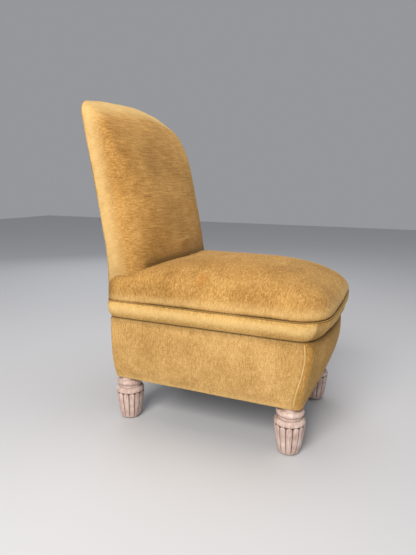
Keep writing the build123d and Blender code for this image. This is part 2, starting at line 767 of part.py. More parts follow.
# Jute webbing tacked under the rails: lengthwise straps lie flat, crosswise straps pass below them
with BuildPart() as seat_webbing_lengthwise:
    with BuildSketch(Plane.XY.offset(FRAME_Z - STRAP_THICKNESS)):
        with Locations(*[(x, LEG_SHIFT_Y) for x in spread(STRAP_COUNT, STRAP_PITCH_X)]):
            Rectangle(STRAP_WIDTH, FRONT_RAIL_Y * -1 + REAR_RAIL_Y + STRAP_LANDING)
    extrude(amount=STRAP_THICKNESS)
keep(seat_webbing_lengthwise, "seat_webbing_lengthwise")

cross_strap_length = 2 * SIDE_RAIL_X + STRAP_LANDING
cross_strap_places = [LEG_SHIFT_Y + y for y in spread(STRAP_COUNT, STRAP_PITCH_Y)]
with BuildPart() as seat_webbing_crosswise:
    for y in cross_strap_places:
        place = Plane(
            origin=(0, y - STRAP_WIDTH / 2, FRAME_Z), x_dir=(1, 0, 0), z_dir=(0, 1, 0)
        )
        with BuildSketch(place):
            add(strap_profile(cross_strap_length, STRAP_LANDING + RAIL_THICKNESS / 4))
        extrude(amount=STRAP_WIDTH)
keep(seat_webbing_crosswise, "seat_webbing_crosswise")

# Tacks at the strap ends, driven up into the rails
strap_tack_places = [
    (x + dx, y)
    for x in spread(STRAP_COUNT, STRAP_PITCH_X)
    for dx in spread(2, STRAP_WIDTH / 2)
    for y in (FRONT_RAIL_Y, REAR_RAIL_Y)
]
strap_tack_places += [
    (x, y + dy)
    for y in cross_strap_places
    for dy in spread(2, STRAP_WIDTH / 2)
    for x in (-SIDE_RAIL_X, SIDE_RAIL_X)
]
with BuildPart() as seat_webbing_tacks:
    with Locations(*[(x, y, FRAME_Z - STRAP_THICKNESS) for x, y in strap_tack_places]):
        add(tack_solid())
keep(seat_webbing_tacks, "seat_webbing_tacks")

# Hourglass coil springs on the webbing and the twine that ties their tops to the rails
spring_places = [
    (x, SPRING_SHIFT_Y + y)
    for x in spread(SPRING_COUNT, SPRING_PITCH_X)
    for y in spread(SPRING_COUNT, SPRING_PITCH_Y)
]
with BuildPart() as seat_springs:
    with Locations(*[(x, y, FRAME_Z) for x, y in spring_places]):
        add(spring_solid(HESSIAN_Z - SOFT_GAP - FRAME_Z))
keep(seat_springs, "seat_springs")

lacing_z = HESSIAN_Z - SOFT_GAP - LACING_RADIUS
lacing_end_z = RAIL_TOP_Z + LACING_RADIUS


def lacing_cord(start, rise_start, rise_end, end):
    """Twine from one rail's top, up and level over the springs, and down to the opposite rail."""
    with BuildPart() as cord:
        with BuildLine() as path:
            FilletPolyline(start, rise_start, rise_end, end, radius=LACING_BEND)
        with BuildSketch(Plane(origin=path.line @ 0, z_dir=path.line % 0)):
            Circle(LACING_RADIUS)
        sweep()
    return cord.part


spring_reach_x = SPRING_PITCH_X * (SPRING_COUNT - 1) / 2 + SPRING_RADIUS
spring_reach_y = SPRING_PITCH_Y * (SPRING_COUNT - 1) / 2 + SPRING_RADIUS
with BuildPart() as spring_lacing:
    for x in spread(SPRING_COUNT, SPRING_PITCH_X):
        add(
            lacing_cord(
                (x, RAIL_INNER_FRONT - LACING_LANDING, lacing_end_z),
                (x, SPRING_SHIFT_Y - spring_reach_y, lacing_z),
                (x, SPRING_SHIFT_Y + spring_reach_y, lacing_z),
                (x, RAIL_INNER_REAR + LACING_LANDING, lacing_end_z),
            )
        )
    for y in spread(SPRING_COUNT, SPRING_PITCH_Y):
        add(
            lacing_cord(
                (-RAIL_INNER_X - LACING_LANDING, SPRING_SHIFT_Y + y, lacing_end_z),
                (-spring_reach_x, SPRING_SHIFT_Y + y, lacing_z),
                (spring_reach_x, SPRING_SHIFT_Y + y, lacing_z),
                (RAIL_INNER_X + LACING_LANDING, SPRING_SHIFT_Y + y, lacing_end_z),
            )
        )
keep(spring_lacing, "spring_lacing")

# Room that the rear posts take through the crown and the edge rolls
with BuildPart() as post_room:
    for x in (-LEG_X, LEG_X):
        with BuildSketch(Plane.XY.offset(RAIL_TOP_Z)):
            with Locations((x, REAR_LEG_Y)):
                Rectangle(POST_SIZE + 2 * ROLL_CLEARANCE, POST_SIZE + 2 * ROLL_CLEARANCE)
        extrude(amount=BORDER_HEIGHT + CROWN_HEIGHT)

# Crown of the seat: hessian on the springs, stuffing and wadding, all inside the edge rolls
with BuildPart() as seat_hessian:
    with BuildSketch(Plane.XY.offset(HESSIAN_Z)):
        add(crown_plan(0))
    extrude(amount=HESSIAN_THICKNESS)
    add(post_room.part, mode=Mode.SUBTRACT)
keep(seat_hessian, "seat_hessian")

def low_front_room(gap):
    """Block of room round the low front of the back, where its crown stands furthest forward."""
    with BuildPart() as block:
        with BuildSketch(BACK_PLANE.offset(BACK_EDGE_DEPTH)):
            with Locations((0, -FOLD_ROOM)):
                Rectangle(2 * LOW_FRONT_HALF, LOW_FRONT_TOP + FOLD_ROOM, align=(Align.CENTER, Align.MIN))
        extrude(amount=BACK_DEPTHS[-1] + gap - BACK_EDGE_DEPTH)
    return block.part


with BuildPart() as back_keepout:
    add(back_solid(BACK_SEAT_GAP))
    add(low_front_room(BACK_SEAT_GAP))
with BuildPart() as back_room:
    add(back_solid(TUCK_CLEARANCE))
    add(low_front_room(TUCK_CLEARANCE))
    with Locations((0, BACK_BASE_Y, UPPER_SEAM_Z)):
        Box(
            2 * (BACK_HALF + TUCK_CLEARANCE),
            2 * (FOLD_ROOM + COVER),
            CROWN_HEIGHT,
            align=(Align.CENTER, Align.CENTER, Align.MIN),
        )
crown_inner = crown_solid(-COVER)
crown_core = crown_solid(-COVER - WADDING)
border_inner = border_solid(-COVER)
with BuildPart() as seat_stuffing:
    add(crown_core)
    with BuildSketch(Plane.XY.offset(UPPER_SEAM_Z)):
        add(crown_plan(0))
    extrude(amount=CROWN_HEIGHT, mode=Mode.INTERSECT)
    with BuildSketch(Plane.XY.offset(STUFFING_Z)):
        add(crown_plan(0))
    extrude(amount=UPPER_SEAM_Z - STUFFING_Z)
    add(back_keepout.part, mode=Mode.SUBTRACT)
    add(post_room.part, mode=Mode.SUBTRACT)
keep(seat_stuffing, "seat_stuffing")

with BuildPart() as seat_wadding:
    add(crown_solid(-COVER - SOFT_GAP))
    add(crown_core, mode=Mode.SUBTRACT)
    with BuildSketch(Plane.XY.offset(UPPER_SEAM_Z + WADDING)):
        add(crown_plan(0))
    extrude(amount=CROWN_HEIGHT, mode=Mode.INTERSECT)
    add(back_keepout.part, mode=Mode.SUBTRACT)
keep(seat_wadding, "seat_wadding")

# Welt sewn round the upper seam
with BuildPart() as seat_welt:
    seam = seat_outline(
        SEAT_HALF - WELT_INSET,
        SEAT_FRONT + WELT_INSET,
        SEAT_FRONT_BOW,
        SEAT_REAR - WELT_INSET,
        SEAT_CORNER_RADIUS,
        SEAT_REAR_RADIUS,
    )
    seam_path = Plane.XY.offset(UPPER_SEAM_Z) * seam.wires()[0]
    with BuildSketch(Plane(origin=seam_path @ 0, z_dir=seam_path % 0)):
        Circle(WELT_RADIUS)
    sweep(path=seam_path)
keep(seat_welt, "seat_welt")

# Top cover of the seat, sewn at the welt and tucked in against the back
with BuildPart() as seat_top_cover:
    add(crown_solid(0))
    add(crown_inner, mode=Mode.SUBTRACT)
    add(back_room.part, mode=Mode.SUBTRACT)
    add(seat_welt.part, mode=Mode.SUBTRACT)
keep(seat_top_cover, "seat_top_cover")

# Firm edge rolls on the rails and the boxed border round them, one length a side
with BuildPart() as roll_ring:
    add(border_inner)
    add(crown_inner)
    with BuildSketch(Plane.XY.offset(RAIL_TOP_Z)):
        add(crown_plan(-ROLL_CLEARANCE))
    extrude(amount=BORDER_HEIGHT + CROWN_HEIGHT + COVER, mode=Mode.SUBTRACT)
    add(back_room.part, mode=Mode.SUBTRACT)
    add(post_room.part, mode=Mode.SUBTRACT)
    add(seat_welt.part, mode=Mode.SUBTRACT)
    lacing_ends = [(x, y, RAIL_TOP_Z) for x in spread(SPRING_COUNT, SPRING_PITCH_X) for y in (RAIL_INNER_FRONT, RAIL_INNER_REAR)]
    with Locations(*lacing_ends):
        Box(
            4 * LACING_RADIUS,
            4 * LACING_LANDING,
            6 * LACING_RADIUS,
            align=(Align.CENTER, Align.CENTER, Align.MIN),
            mode=Mode.SUBTRACT,
        )

with BuildPart() as border_ring:
    add(border_solid(0))
    add(border_inner, mode=Mode.SUBTRACT)
    add(seat_welt.part, mode=Mode.SUBTRACT)

for side in ("front", "right", "left", "rear"):
    with BuildPart() as edge_roll:
        add(roll_ring.part)
        with BuildSketch():
            Polygon(*sector(side), align=None)
        extrude(amount=TALL, mode=Mode.INTERSECT)
    keep(edge_roll, f"{side}_edge_roll")
    with BuildPart() as border:
        add(border_ring.part)
        with BuildSketch():
            Polygon(*sector(side), align=None)
        extrude(amount=TALL, mode=Mode.INTERSECT)
    keep(border, f"{side}_border")

# Apron padding on the outside of the frame and its cover, turned under the rails as a hem
with BuildPart() as apron_ring:
    add(apron_solid(0, HEM_Z + COVER))
    with BuildSketch(Plane.XY.offset(HEM_Z)):
        with Locations((0, LEG_SHIFT_Y)):
            Rectangle(2 * FRAME_HALF, FRAME_REAR - FRAME_FRONT)
    extrude(amount=RAIL_TOP_Z - HEM_Z, mode=Mode.SUBTRACT)

with BuildPart() as apron_skin:
    add(apron_solid(COVER, HEM_Z))
    add(apron_solid(0, HEM_Z + COVER), mode=Mode.SUBTRACT)
    with BuildSketch(Plane.XY.offset(HEM_Z)):
        with Locations((0, LEG_SHIFT_Y)):
            Rectangle(2 * (FRAME_HALF - HEM_WIDTH), FRAME_REAR - FRAME_FRONT - 2 * HEM_WIDTH)
        with Locations(*[(x, y) for corner, x, y in CORNERS]):
            Circle(SPIGOT_RADIUS + HEM_LEG_GAP)
    extrude(amount=COVER, mode=Mode.SUBTRACT)

for side in ("front", "right", "left", "rear"):
    with BuildPart() as apron_pad:
        add(apron_ring.part)
        with BuildSketch():
            Polygon(*sector(side), align=None)
        extrude(amount=TALL, mode=Mode.INTERSECT)
    keep(apron_pad, f"{side}_apron_pad")
    with BuildPart() as apron_cover:
        add(apron_skin.part)
        with BuildSketch():
            Polygon(*sector(side), align=None)
        extrude(amount=TALL, mode=Mode.INTERSECT)
    keep(apron_cover, f"{side}_apron_cover")

# Back webbing on the fronts of the posts and rails, and the hessian over it
back_mid_up = (STAY_LOW + STAY_HEIGHT + CREST_BASE) / 2
cross_strap_ups = [back_mid_up + v for v in spread(BACK_STRAP_COUNT, BACK_STRAP_PITCH_V)]
with BuildPart() as back_webbing_crosswise:
    with BuildSketch(BACK_PLANE.offset(POST_FRONT_DEPTH)):
        with Locations(*[(0, up) for up in cross_strap_ups]):
            Rectangle(2 * LEG_X + STRAP_LANDING, STRAP_WIDTH)
    extrude(amount=STRAP_THICKNESS)
keep(back_webbing_crosswise, "back_webbing_crosswise")

upright_low = STAY_LOW + STAY_HEIGHT / 2 - STRAP_LANDING
upright_high = CREST_BASE + STRAP_LANDING * 2
upright_mid = (upright_low + upright_high) / 2
with BuildPart() as back_webbing_upright:
    for x in spread(BACK_STRAP_COUNT, BACK_STRAP_PITCH_X):
        y, z = back_point(upright_mid, POST_FRONT_DEPTH)
        place = Plane(
            origin=(x - STRAP_WIDTH / 2, y, z), x_dir=(0, sin(RAKE), cos(RAKE)), z_dir=(1, 0, 0)
        )
        with BuildSketch(place):
            add(strap_profile(upright_high - upright_low, 2 * STRAP_LANDING))
        extrude(amount=STRAP_WIDTH)
keep(back_webbing_upright, "back_webbing_upright")

with BuildPart() as back_webbing_tacks:
    for x in spread(BACK_STRAP_COUNT, BACK_STRAP_PITCH_X):
        for up in (upright_low + STRAP_LANDING / 2, upright_high - STRAP_LANDING / 2):
            for dx in spread(2, STRAP_WIDTH / 2):
                y, z = back_point(up, POST_FRONT_DEPTH + STRAP_THICKNESS)
                place = Plane(origin=(x + dx, y, z), x_dir=(1, 0, 0), z_dir=(0, cos(RAKE), -sin(RAKE)))
                add(place * tack_solid())
    for up in cross_strap_ups:
        for x in (-LEG_X, LEG_X):
            for du in spread(2, STRAP_WIDTH / 2):
                y, z = back_point(up + du, POST_FRONT_DEPTH + STRAP_THICKNESS)
                place = Plane(origin=(x, y, z), x_dir=(1, 0, 0), z_dir=(0, cos(RAKE), -sin(RAKE)))
                add(place * tack_solid())
keep(back_webbing_tacks, "back_webbing_tacks")

with BuildPart() as back_hessian:
    with BuildSketch(BACK_PLANE.offset(BACK_HESSIAN_DEPTH)):
        add(
            back_outline(
                FRAME_HALF - BACK_HESSIAN_MARGIN,
                CREST_TOP - BACK_HESSIAN_MARGIN,
                CREST_CORNER_RADIUS,
                STAY_LOW,
            )
        )
    extrude(amount=HESSIAN_THICKNESS)
keep(back_hessian, "back_hessian")

# Back stuffing: a cap over the front, the sides and the top of the back frame
back_inner = back_solid(-COVER)
with BuildPart() as back_stuffing:
    add(back_inner)
    with BuildSketch(BACK_PLANE.offset(-FOLD_ROOM)):
        add(back_outline(FRAME_HALF, CREST_TOP, CREST_CORNER_RADIUS, -FOLD_ROOM))
    extrude(amount=POCKET_DEPTH + FOLD_ROOM, mode=Mode.SUBTRACT)
keep(back_stuffing, "back_stuffing")

# Outside back: lining against the posts and its own panel, sewn inside the edge of the inside cover
panel_outline = back_outline(
    BACK_HALF - BACK_PIPE_GAP, BACK_LENGTH - BACK_PIPE_GAP, BACK_CORNER_RADIUS, -FOLD_ROOM
)
frame_outline = back_outline(FRAME_HALF, CREST_TOP, CREST_CORNER_RADIUS, -FOLD_ROOM)
with BuildPart() as outside_back_cover:
    add(rear_sheet(0, COVER, panel_outline))
keep(outside_back_cover, "outside_back_cover")

with BuildPart() as outside_back_lining:
    add(rear_sheet(COVER, POST_REAR_DEPTH, frame_outline))
keep(outside_back_lining, "outside_back_lining")

with BuildPart() as inside_back_cover:
    add(back_solid(0))
    with BuildSketch(BACK_PLANE.offset(-FOLD_ROOM)):
        with Locations((0, BACK_COVER_LOW)):
            Rectangle(3 * BACK_HALF, 2 * FOLD_ROOM, align=(Align.CENTER, Align.MAX))
    extrude(amount=BACK_DEPTH + 2 * FOLD_ROOM, mode=Mode.SUBTRACT)
    add(back_inner, mode=Mode.SUBTRACT)
    add(outside_back_cover.part, mode=Mode.SUBTRACT)
    with BuildSketch(BACK_PLANE.offset(-FOLD_ROOM)):
        add(frame_outline)
    extrude(amount=POCKET_DEPTH + FOLD_ROOM, mode=Mode.SUBTRACT)
keep(inside_back_cover, "inside_back_cover")

# Dust cover under the frame and its tacks
with BuildPart() as dust_cover:
    with BuildSketch(Plane.XY.offset(HEM_Z)):
        with Locations((0, LEG_SHIFT_Y)):
            Rectangle(2 * (FRAME_HALF - DUST_COVER_INSET), FRAME_REAR - FRAME_FRONT - 2 * DUST_COVER_INSET)
        with Locations(*[(x, y) for corner, x, y in CORNERS]):
            Circle(SPIGOT_RADIUS + HEM_LEG_GAP, mode=Mode.SUBTRACT)
    extrude(amount=-DUST_COVER)
keep(dust_cover, "dust_cover")

dust_tack_places = [
    (x, y) for x in spread(DUST_TACKS_X, STRAP_PITCH_X) for y in (FRONT_RAIL_Y, REAR_RAIL_Y)
]
dust_tack_places += [
    (x, LEG_SHIFT_Y + y)
    for y in spread(DUST_TACKS_Y, STRAP_PITCH_Y)
    for x in (-SIDE_RAIL_X, SIDE_RAIL_X)
]
with BuildPart() as dust_cover_tacks:
    with Locations(*[(x, y, HEM_Z - DUST_COVER) for x, y in dust_tack_places]):
        add(tack_solid())
keep(dust_cover_tacks, "dust_cover_tacks")

for piece in pieces:
    export_step(piece, f"parts/{piece.label}.step")
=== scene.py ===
import json
import math

import bpy
from mathutils import Matrix, Vector, noise


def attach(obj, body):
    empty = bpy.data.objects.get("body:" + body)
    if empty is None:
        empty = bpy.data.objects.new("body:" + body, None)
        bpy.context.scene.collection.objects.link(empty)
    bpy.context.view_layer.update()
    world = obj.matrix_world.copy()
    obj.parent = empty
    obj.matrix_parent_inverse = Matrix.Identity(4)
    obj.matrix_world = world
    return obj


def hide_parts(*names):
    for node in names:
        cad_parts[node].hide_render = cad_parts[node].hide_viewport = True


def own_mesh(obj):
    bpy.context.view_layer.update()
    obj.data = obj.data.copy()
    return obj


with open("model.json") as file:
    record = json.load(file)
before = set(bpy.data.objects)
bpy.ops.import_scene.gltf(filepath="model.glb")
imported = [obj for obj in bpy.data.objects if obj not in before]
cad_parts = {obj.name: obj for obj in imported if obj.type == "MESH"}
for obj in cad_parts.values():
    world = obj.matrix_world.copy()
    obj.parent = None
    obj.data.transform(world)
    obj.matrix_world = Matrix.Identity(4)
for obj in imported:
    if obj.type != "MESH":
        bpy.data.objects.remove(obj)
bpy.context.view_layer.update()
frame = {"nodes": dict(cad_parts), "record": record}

# Sizes in millimetres, near those of the part's source
MM = 0.001
SIDES = ("front", "right", "left", "rear")
LEG_X = 153.0
FRONT_LEG_Y = -218.35
REAR_LEG_Y = 206.65
FRAME_HALF = 175.0
FRAME_FRONT = FRONT_LEG_Y - 22.0
FRAME_REAR = REAR_LEG_Y + 22.0
HEM_Z = 114.0
LOWER_SEAM_Z = 280.0
UPPER_SEAM_Z = 324.0

# Seat and its crown
SEAT_HALF = FRAME_HALF + 38.0
SEAT_FRONT = FRAME_FRONT - 61.0
SEAT_REAR = FRAME_REAR + 6.0
SEAT_BOW = 10.0
SEAT_CORNER = 70.0
SEAT_REAR_CORNER = 24.0
CROWN_HEIGHT = 97.0
CROWN_RIDGE = 24.0
CROWN_DOME = 237.0
CROWN_POWER = 1.7
CROWN_SQUARE = 6.3
CROWN_LOW = 0.1
CROWN_LEAN = 26.0
CROWN_LEAN_RISE = (0.05, 0.4)
CROWN_FOOT_RISE = (0.0, 0.05)
CROWN_STEPS = 30
UNDER_BACK_Y = (-40.0, 140.0)
LOBE_X = (184.0, 203.0)
LOBE_Y = (60.0, 190.0)
LOBE_REACH = 25.0
LOBE_LOW = 0.23
WADDING_UNDER = 4.0
WADDING_HALF = SEAT_HALF - 55.0
WADDING_FRONT = SEAT_FRONT + 86.0
WADDING_LOW = UPPER_SEAM_Z + 46.0

# Band, at three shares of its height
BAND_SHARES = (0.0, 0.5, 1.0)
BAND_HALVES = (202.0, 216.0, 213.0)
BAND_FRONTS = (SEAT_FRONT + 18.0, SEAT_FRONT, SEAT_FRONT)
BAND_BOWS = (22.0, 16.0, SEAT_BOW)
BAND_CORNERS = (34.0, SEAT_CORNER, SEAT_CORNER)
BAND_STEPS = 16

# Apron, at four shares of its height, and its hem as insets and lifts
APRON_SHARES = (0.0, 0.22, 0.61, 1.0)
APRON_SIDE_SWELLS = (3.0, 14.0, 22.0, 20.0)
APRON_FRONT_SWELLS = (9.0, 26.0, 47.0, 48.0)
APRON_BOWS = (4.0, 18.0, 25.0, 28.0)
APRON_COVER = 3.0
APRON_HEM = ((24.0, 1.5), (8.0, 0.5), (2.0, 0.0), (0.3, 1.2))
APRON_STEPS = 34
HEM_ROLL = 2.0
WELT_RADIUS = 1.7
RIDGE_RADIUS = 1.9
RIDGE_POINTS = 36

# Back, in its own raked plane
BACK_BASE_Y = FRAME_REAR - 13.5
BACK_BASE_Z = UPPER_SEAM_Z + 3.0
BACK_RAKE = math.radians(10.46)
BACK_HALF = 197.0
BACK_LENGTH = 491.5
BACK_EDGE = 52.0
BACK_CROWN = 74.0
BACK_BOW = 17.0
BACK_SLOPE = 0.98
BACK_DOME = 438.0
BACK_LOW = 110.0
BACK_LOW_ROUND = 40.0
BACK_CORNER = 38.0
BACK_FOLD_ROUND = 6.0
BACK_STEPS = 26
BACK_SIDE_RUN, BACK_ARC, BACK_TOP_RUN = 70, 14, 30
BACK_RIM = ((1.5, 6.0), (0.4, 4.0), (0.8, 2.2), (2.5, 0.8), (6.0, 0.0))
BACK_EDGE_DEPTHS = (12.0, 20.0, 28.0, 36.0, 44.0, 50.0)
PANEL_INSET = 5.0
PANEL_CORNER = 34.0
PANEL_SHRINKS = (0.0, 0.004, 0.02, 0.06, 0.12, 0.2, 0.3, 0.42, 0.55, 0.7, 0.85, 0.95)

# Legs, with heights of the turned parts
LEG_FOOT, LEG_SHOULDER, LEG_NECK, LEG_COLLAR, LEG_TOP = 3.0, 75.0, 86.0, 92.0, 106.0
FOOT_RADIUS = 25.3
BARREL_FLARE = 10.7
BARREL_SWELL = 4.8
SHOULDER_STEP = 7.5
NECK_RADIUS = 28.5
NECK_COVE = 1.2
COLLAR_SWELL = 4.0
TENON_RADIUS = 21.0
REEDS, REED_POINTS = 14, 14
REED_WIDTH = 0.80
REED_TOP = 66.0
REED_ARCH = 6.5
REED_CROWN = 0.5
GROOVE_DEPTH = 2.0
FOOT_CHAMFER = 0.8
# Painted shade in the turned lines: its darkness, then the heights where it comes in, is full, starts to
# fade and ends
LEG_LINE_SHADES = (
    (0.5, 72.8, 73.8, 74.2, 75.2),
    (0.45, 85.0, 86.2, 86.8, 88.0),
    (0.6, 91.0, 92.0, 92.4, 93.4),
)

# Black cloth under the frame
CLOTH_INSET = 7.0
CLOTH_SAG = 3.5
CLOTH_HOLE = 24.0
CLOTH_THICKNESS = 0.001

# Points on each stretch of a plan loop, and where each side starts and how far it runs
REAR_ARC, SIDE_RUN, FRONT_ARC, FRONT_RUN, REAR_RUN = 7, 74, 12, 66, 60
FLANK = REAR_ARC + SIDE_RUN + FRONT_ARC
RUNS = {
    "right": (0, FLANK),
    "front": (FLANK, 2 * FRONT_ARC + FRONT_RUN),
    "left": (FLANK + 2 * FRONT_ARC + FRONT_RUN, FLANK),
    "rear": (2 * FLANK + 2 * FRONT_ARC + FRONT_RUN, 2 * REAR_ARC + REAR_RUN),
}


def smooth(low, high, value):
    """Soft step from 0 to 1 between two values."""
    t = min(1.0, max(0.0, (value - low) / (high - low)))
    return t * t * (3.0 - 2.0 * t)


def between(low, full, fade, high, value):
    """Soft step up from low to full, and down again from fade to high."""
    return smooth(low, full, value) * (1.0 - smooth(fade, high, value))


def through(places, values, at):
    """Value of the polynomial through the given places."""
    total = 0.0
    for i, value in enumerate(values):
        for j, place_of in enumerate(places):
            if j != i:
                value *= (at - place_of) / (places[i] - place_of)
        total += value
    return total


def arc(cx, cy, radius, start, turn, count):
    """Points along an arc from a start angle in degrees, without its last one."""
    angles = [math.radians(start + turn * i / count) for i in range(count)]
    return [(cx + radius * math.cos(a), cy + radius * math.sin(a)) for a in angles]


def plan_loop(half, front, bow, rear, front_radius, rear_radius):
    """Plan outline from the middle of the rear right corner, past the front, round to the start."""
    xf = half - front_radius
    yf = front + bow * (xf / half) ** 2
    xr, yr = half - rear_radius, rear - rear_radius
    right = arc(-xr, yr, rear_radius, 135, 45, REAR_ARC)
    for i in range(SIDE_RUN):
        t = i / SIDE_RUN
        right.append((-half, yr * (1 - t) + (yf + front_radius) * t))
    right += arc(-xf, yf + front_radius, front_radius, 180, 45, FRONT_ARC)
    ahead = arc(-xf, yf + front_radius, front_radius, 225, 45, FRONT_ARC)
    for i in range(FRONT_RUN // 2):
        x = -xf + 2 * xf * i / FRONT_RUN
        ahead.append((x, front + bow * (x / half) ** 2))
    ahead_left = [(-x, y) for x, y in reversed(ahead[1:])]
    left = [(-x, y) for x, y in reversed(right[1:] + [ahead[0]])]
    behind = arc(xr, yr, rear_radius, 45, 45, REAR_ARC)
    behind += [(xr * (1 - 2 * i / REAR_RUN), rear) for i in range(REAR_RUN + 1)]
    behind += arc(-xr, yr, rear_radius, 90, 45, REAR_ARC)[1:]
    return right + ahead + [(0.0, front)] + ahead_left + left + behind


def run_of(loop, side, early=0):
    """Points of one side of a plan loop, both ends included; the front can take in more of its corners."""
    start, length = RUNS[side]
    if side == "front":
        start, length = start - early, length + 2 * early
    elif side == "right":
        length -= early
    elif side == "left":
        start, length = start + early, length - early
    return [loop[(start + i) % len(loop)] for i in range(length + 1)]


def make_mesh(name, points, faces, seam=None, wear_and_highlight=None):
    """Mesh object from points in millimetres, with how near each is to a seam, which sets its painted seam
    shade, and how much it is lightened for wear and as a painted highlight.
    """
    mesh = bpy.data.meshes.new(name)
    mesh.from_pydata([(x * MM, y * MM, z * MM) for x, y, z in points], [], faces)
    for word, values in (("seam", seam), ("wear_and_highlight", wear_and_highlight)):
        layer = mesh.attributes.new(word, "FLOAT", "POINT")
        layer.data.foreach_set("value", values if values else [0.0] * len(points))
    mesh.polygons.foreach_set("use_smooth", [True] * len(mesh.polygons))
    mesh.update()
    obj = bpy.data.objects.new(name, mesh)
    bpy.context.collection.objects.link(obj)
    return obj


def ring_faces(rings, closed=True):
    """Four-sided faces between rings of points that follow one another."""
    count = len(rings[0])
    faces = []
    for i in range(len(rings) - 1):
        for j in range(count if closed else count - 1):
            k = (j + 1) % count
            faces.append((i * count + j, i * count + k, (i + 1) * count + k, (i + 1) * count + j))
    return faces


def end_faces(rings):
    """Flat faces that close the first and the last ring."""
    count = len(rings[0])
    last = (len(rings) - 1) * count
    return [tuple(range(count - 1, -1, -1)), tuple(last + j for j in range(count))]


def skin(name, rings, ring_seam, ring_wear_and_highlight, closed=True, end_seam=0, cap=None, zipped=False):
    """Surface through rings of points; open runs can take painted shade at their two ends."""
    count = len(rings[0])
    last = (len(rings) - 1) * count
    points, seam, wear_and_highlight = [], [], []
    for i, ring in enumerate(rings):
        for j, point in enumerate(ring):
            near = 0.0
            if end_seam:
                near = 0.45 * max(0.0, 1.0 - min(j, count - 1 - j) / end_seam)
            points.append(point)
            seam.append(max(ring_seam[i], near))
            wear_and_highlight.append(ring_wear_and_highlight[i])
    faces = ring_faces(rings, closed)
    if cap is not None:
        points.append(cap)
        seam.append(0.0)
        wear_and_highlight.append(0.0)
        for j in range(count):
            faces.append((last + j, last + (j + 1) % count, len(points) - 1))
    if zipped:
        middle = (count - 1) // 2 - 1
        for j in range(middle):
            faces.append((last + j, last + j + 1, last + count - 2 - j, last + count - 1 - j))
        faces.append((last + middle, last + middle + 1, last + middle + 2))
    return make_mesh(name, points, faces, seam, wear_and_highlight)


def soften(obj, amount, size, seed, out=0.0):
    """Uneven stuffing: moves points along their normals by smooth noise, less at the seams."""
    mesh = obj.data
    hold = mesh.attributes["seam"].data
    moves = []
    for v in mesh.vertices:
        spot = v.co / (size * MM) + Vector((seed, 2.7 * seed, -seed))
        moves.append(v.normal * ((noise.noise(spot) + out) * amount * MM * (1.0 - hold[v.index].value)))
    for v, move in zip(mesh.vertices, moves):
        v.co += move
    mesh.update()


def relax(obj, rounds, share):
    """Evens the surface a little, keeping points near a seam where they are."""
    mesh = obj.data
    hold = [d.value for d in mesh.attributes["seam"].data]
    near = [[] for _ in mesh.vertices]
    for e in mesh.edges:
        a, b = e.vertices
        near[a].append(b)
        near[b].append(a)
    places = [v.co.copy() for v in mesh.vertices]
    for _ in range(rounds):
        fresh = []
        for i, p in enumerate(places):
            mean = Vector((0.0, 0.0, 0.0))
            for j in near[i]:
                mean += places[j]
            pull = share if hold[i] < 0.5 else 0.0
            fresh.append(p.lerp(mean / len(near[i]), pull))
        places = fresh
    for v, p in zip(mesh.vertices, places):
        v.co = p
    mesh.update()


def shade_near(obj, gap, most, reach):
    """Deepens the seam shade where two covers are tucked together."""
    layer = obj.data.attributes["seam"].data
    for v in obj.data.vertices:
        x, y, z = (c / MM for c in v.co)
        shade = most * math.exp(-max(0.0, gap(x, y, z)) / reach)
        layer[v.index].value = max(layer[v.index].value, shade)


# Crown of the seat: the domed top cover and the felt under it
def crown_half(rise, power):
    """Half width of the crown at a share of its height."""
    return CROWN_RIDGE + (SEAT_HALF - CROWN_RIDGE) * math.sqrt(1.0 - rise**power)


def crown_level(rise):
    """Half width, front and rear of the crown at a share of its height."""
    front = SEAT_FRONT + CROWN_DOME * (1.0 - math.sqrt(1.0 - rise**2))
    rear = SEAT_REAR - 1.5 - CROWN_LEAN * smooth(*CROWN_LEAN_RISE, rise)
    return crown_half(rise, CROWN_POWER), front, rear


def crown_point(x, y, rise):
    """Place on the crown, squarer and lower where it runs in under the back, with a lobe beside the back."""
    near = smooth(*UNDER_BACK_Y, y)
    if rise < 1.0:
        x *= crown_half(rise, CROWN_POWER + CROWN_SQUARE * near) / crown_half(rise, CROWN_POWER)
    lobe = smooth(*LOBE_X, abs(x)) * smooth(*LOBE_Y, y)
    y += LOBE_REACH * lobe * smooth(*CROWN_LEAN_RISE, rise)
    return x, y, UPPER_SEAM_Z + 0.5 + CROWN_HEIGHT * rise * (1.0 - CROWN_LOW * near - LOBE_LOW * lobe)


def crown_over(x):
    """Height of the crown where it runs in under the back."""
    share = min(1.0, max(0.0, (abs(x) - CROWN_RIDGE) / (SEAT_HALF - CROWN_RIDGE)))
    dome = (1.0 - CROWN_LOW) * CROWN_HEIGHT * (1.0 - share**2) ** 0.125
    return UPPER_SEAM_Z + dome - 30.0 * smooth(178.0, BACK_HALF, abs(x))


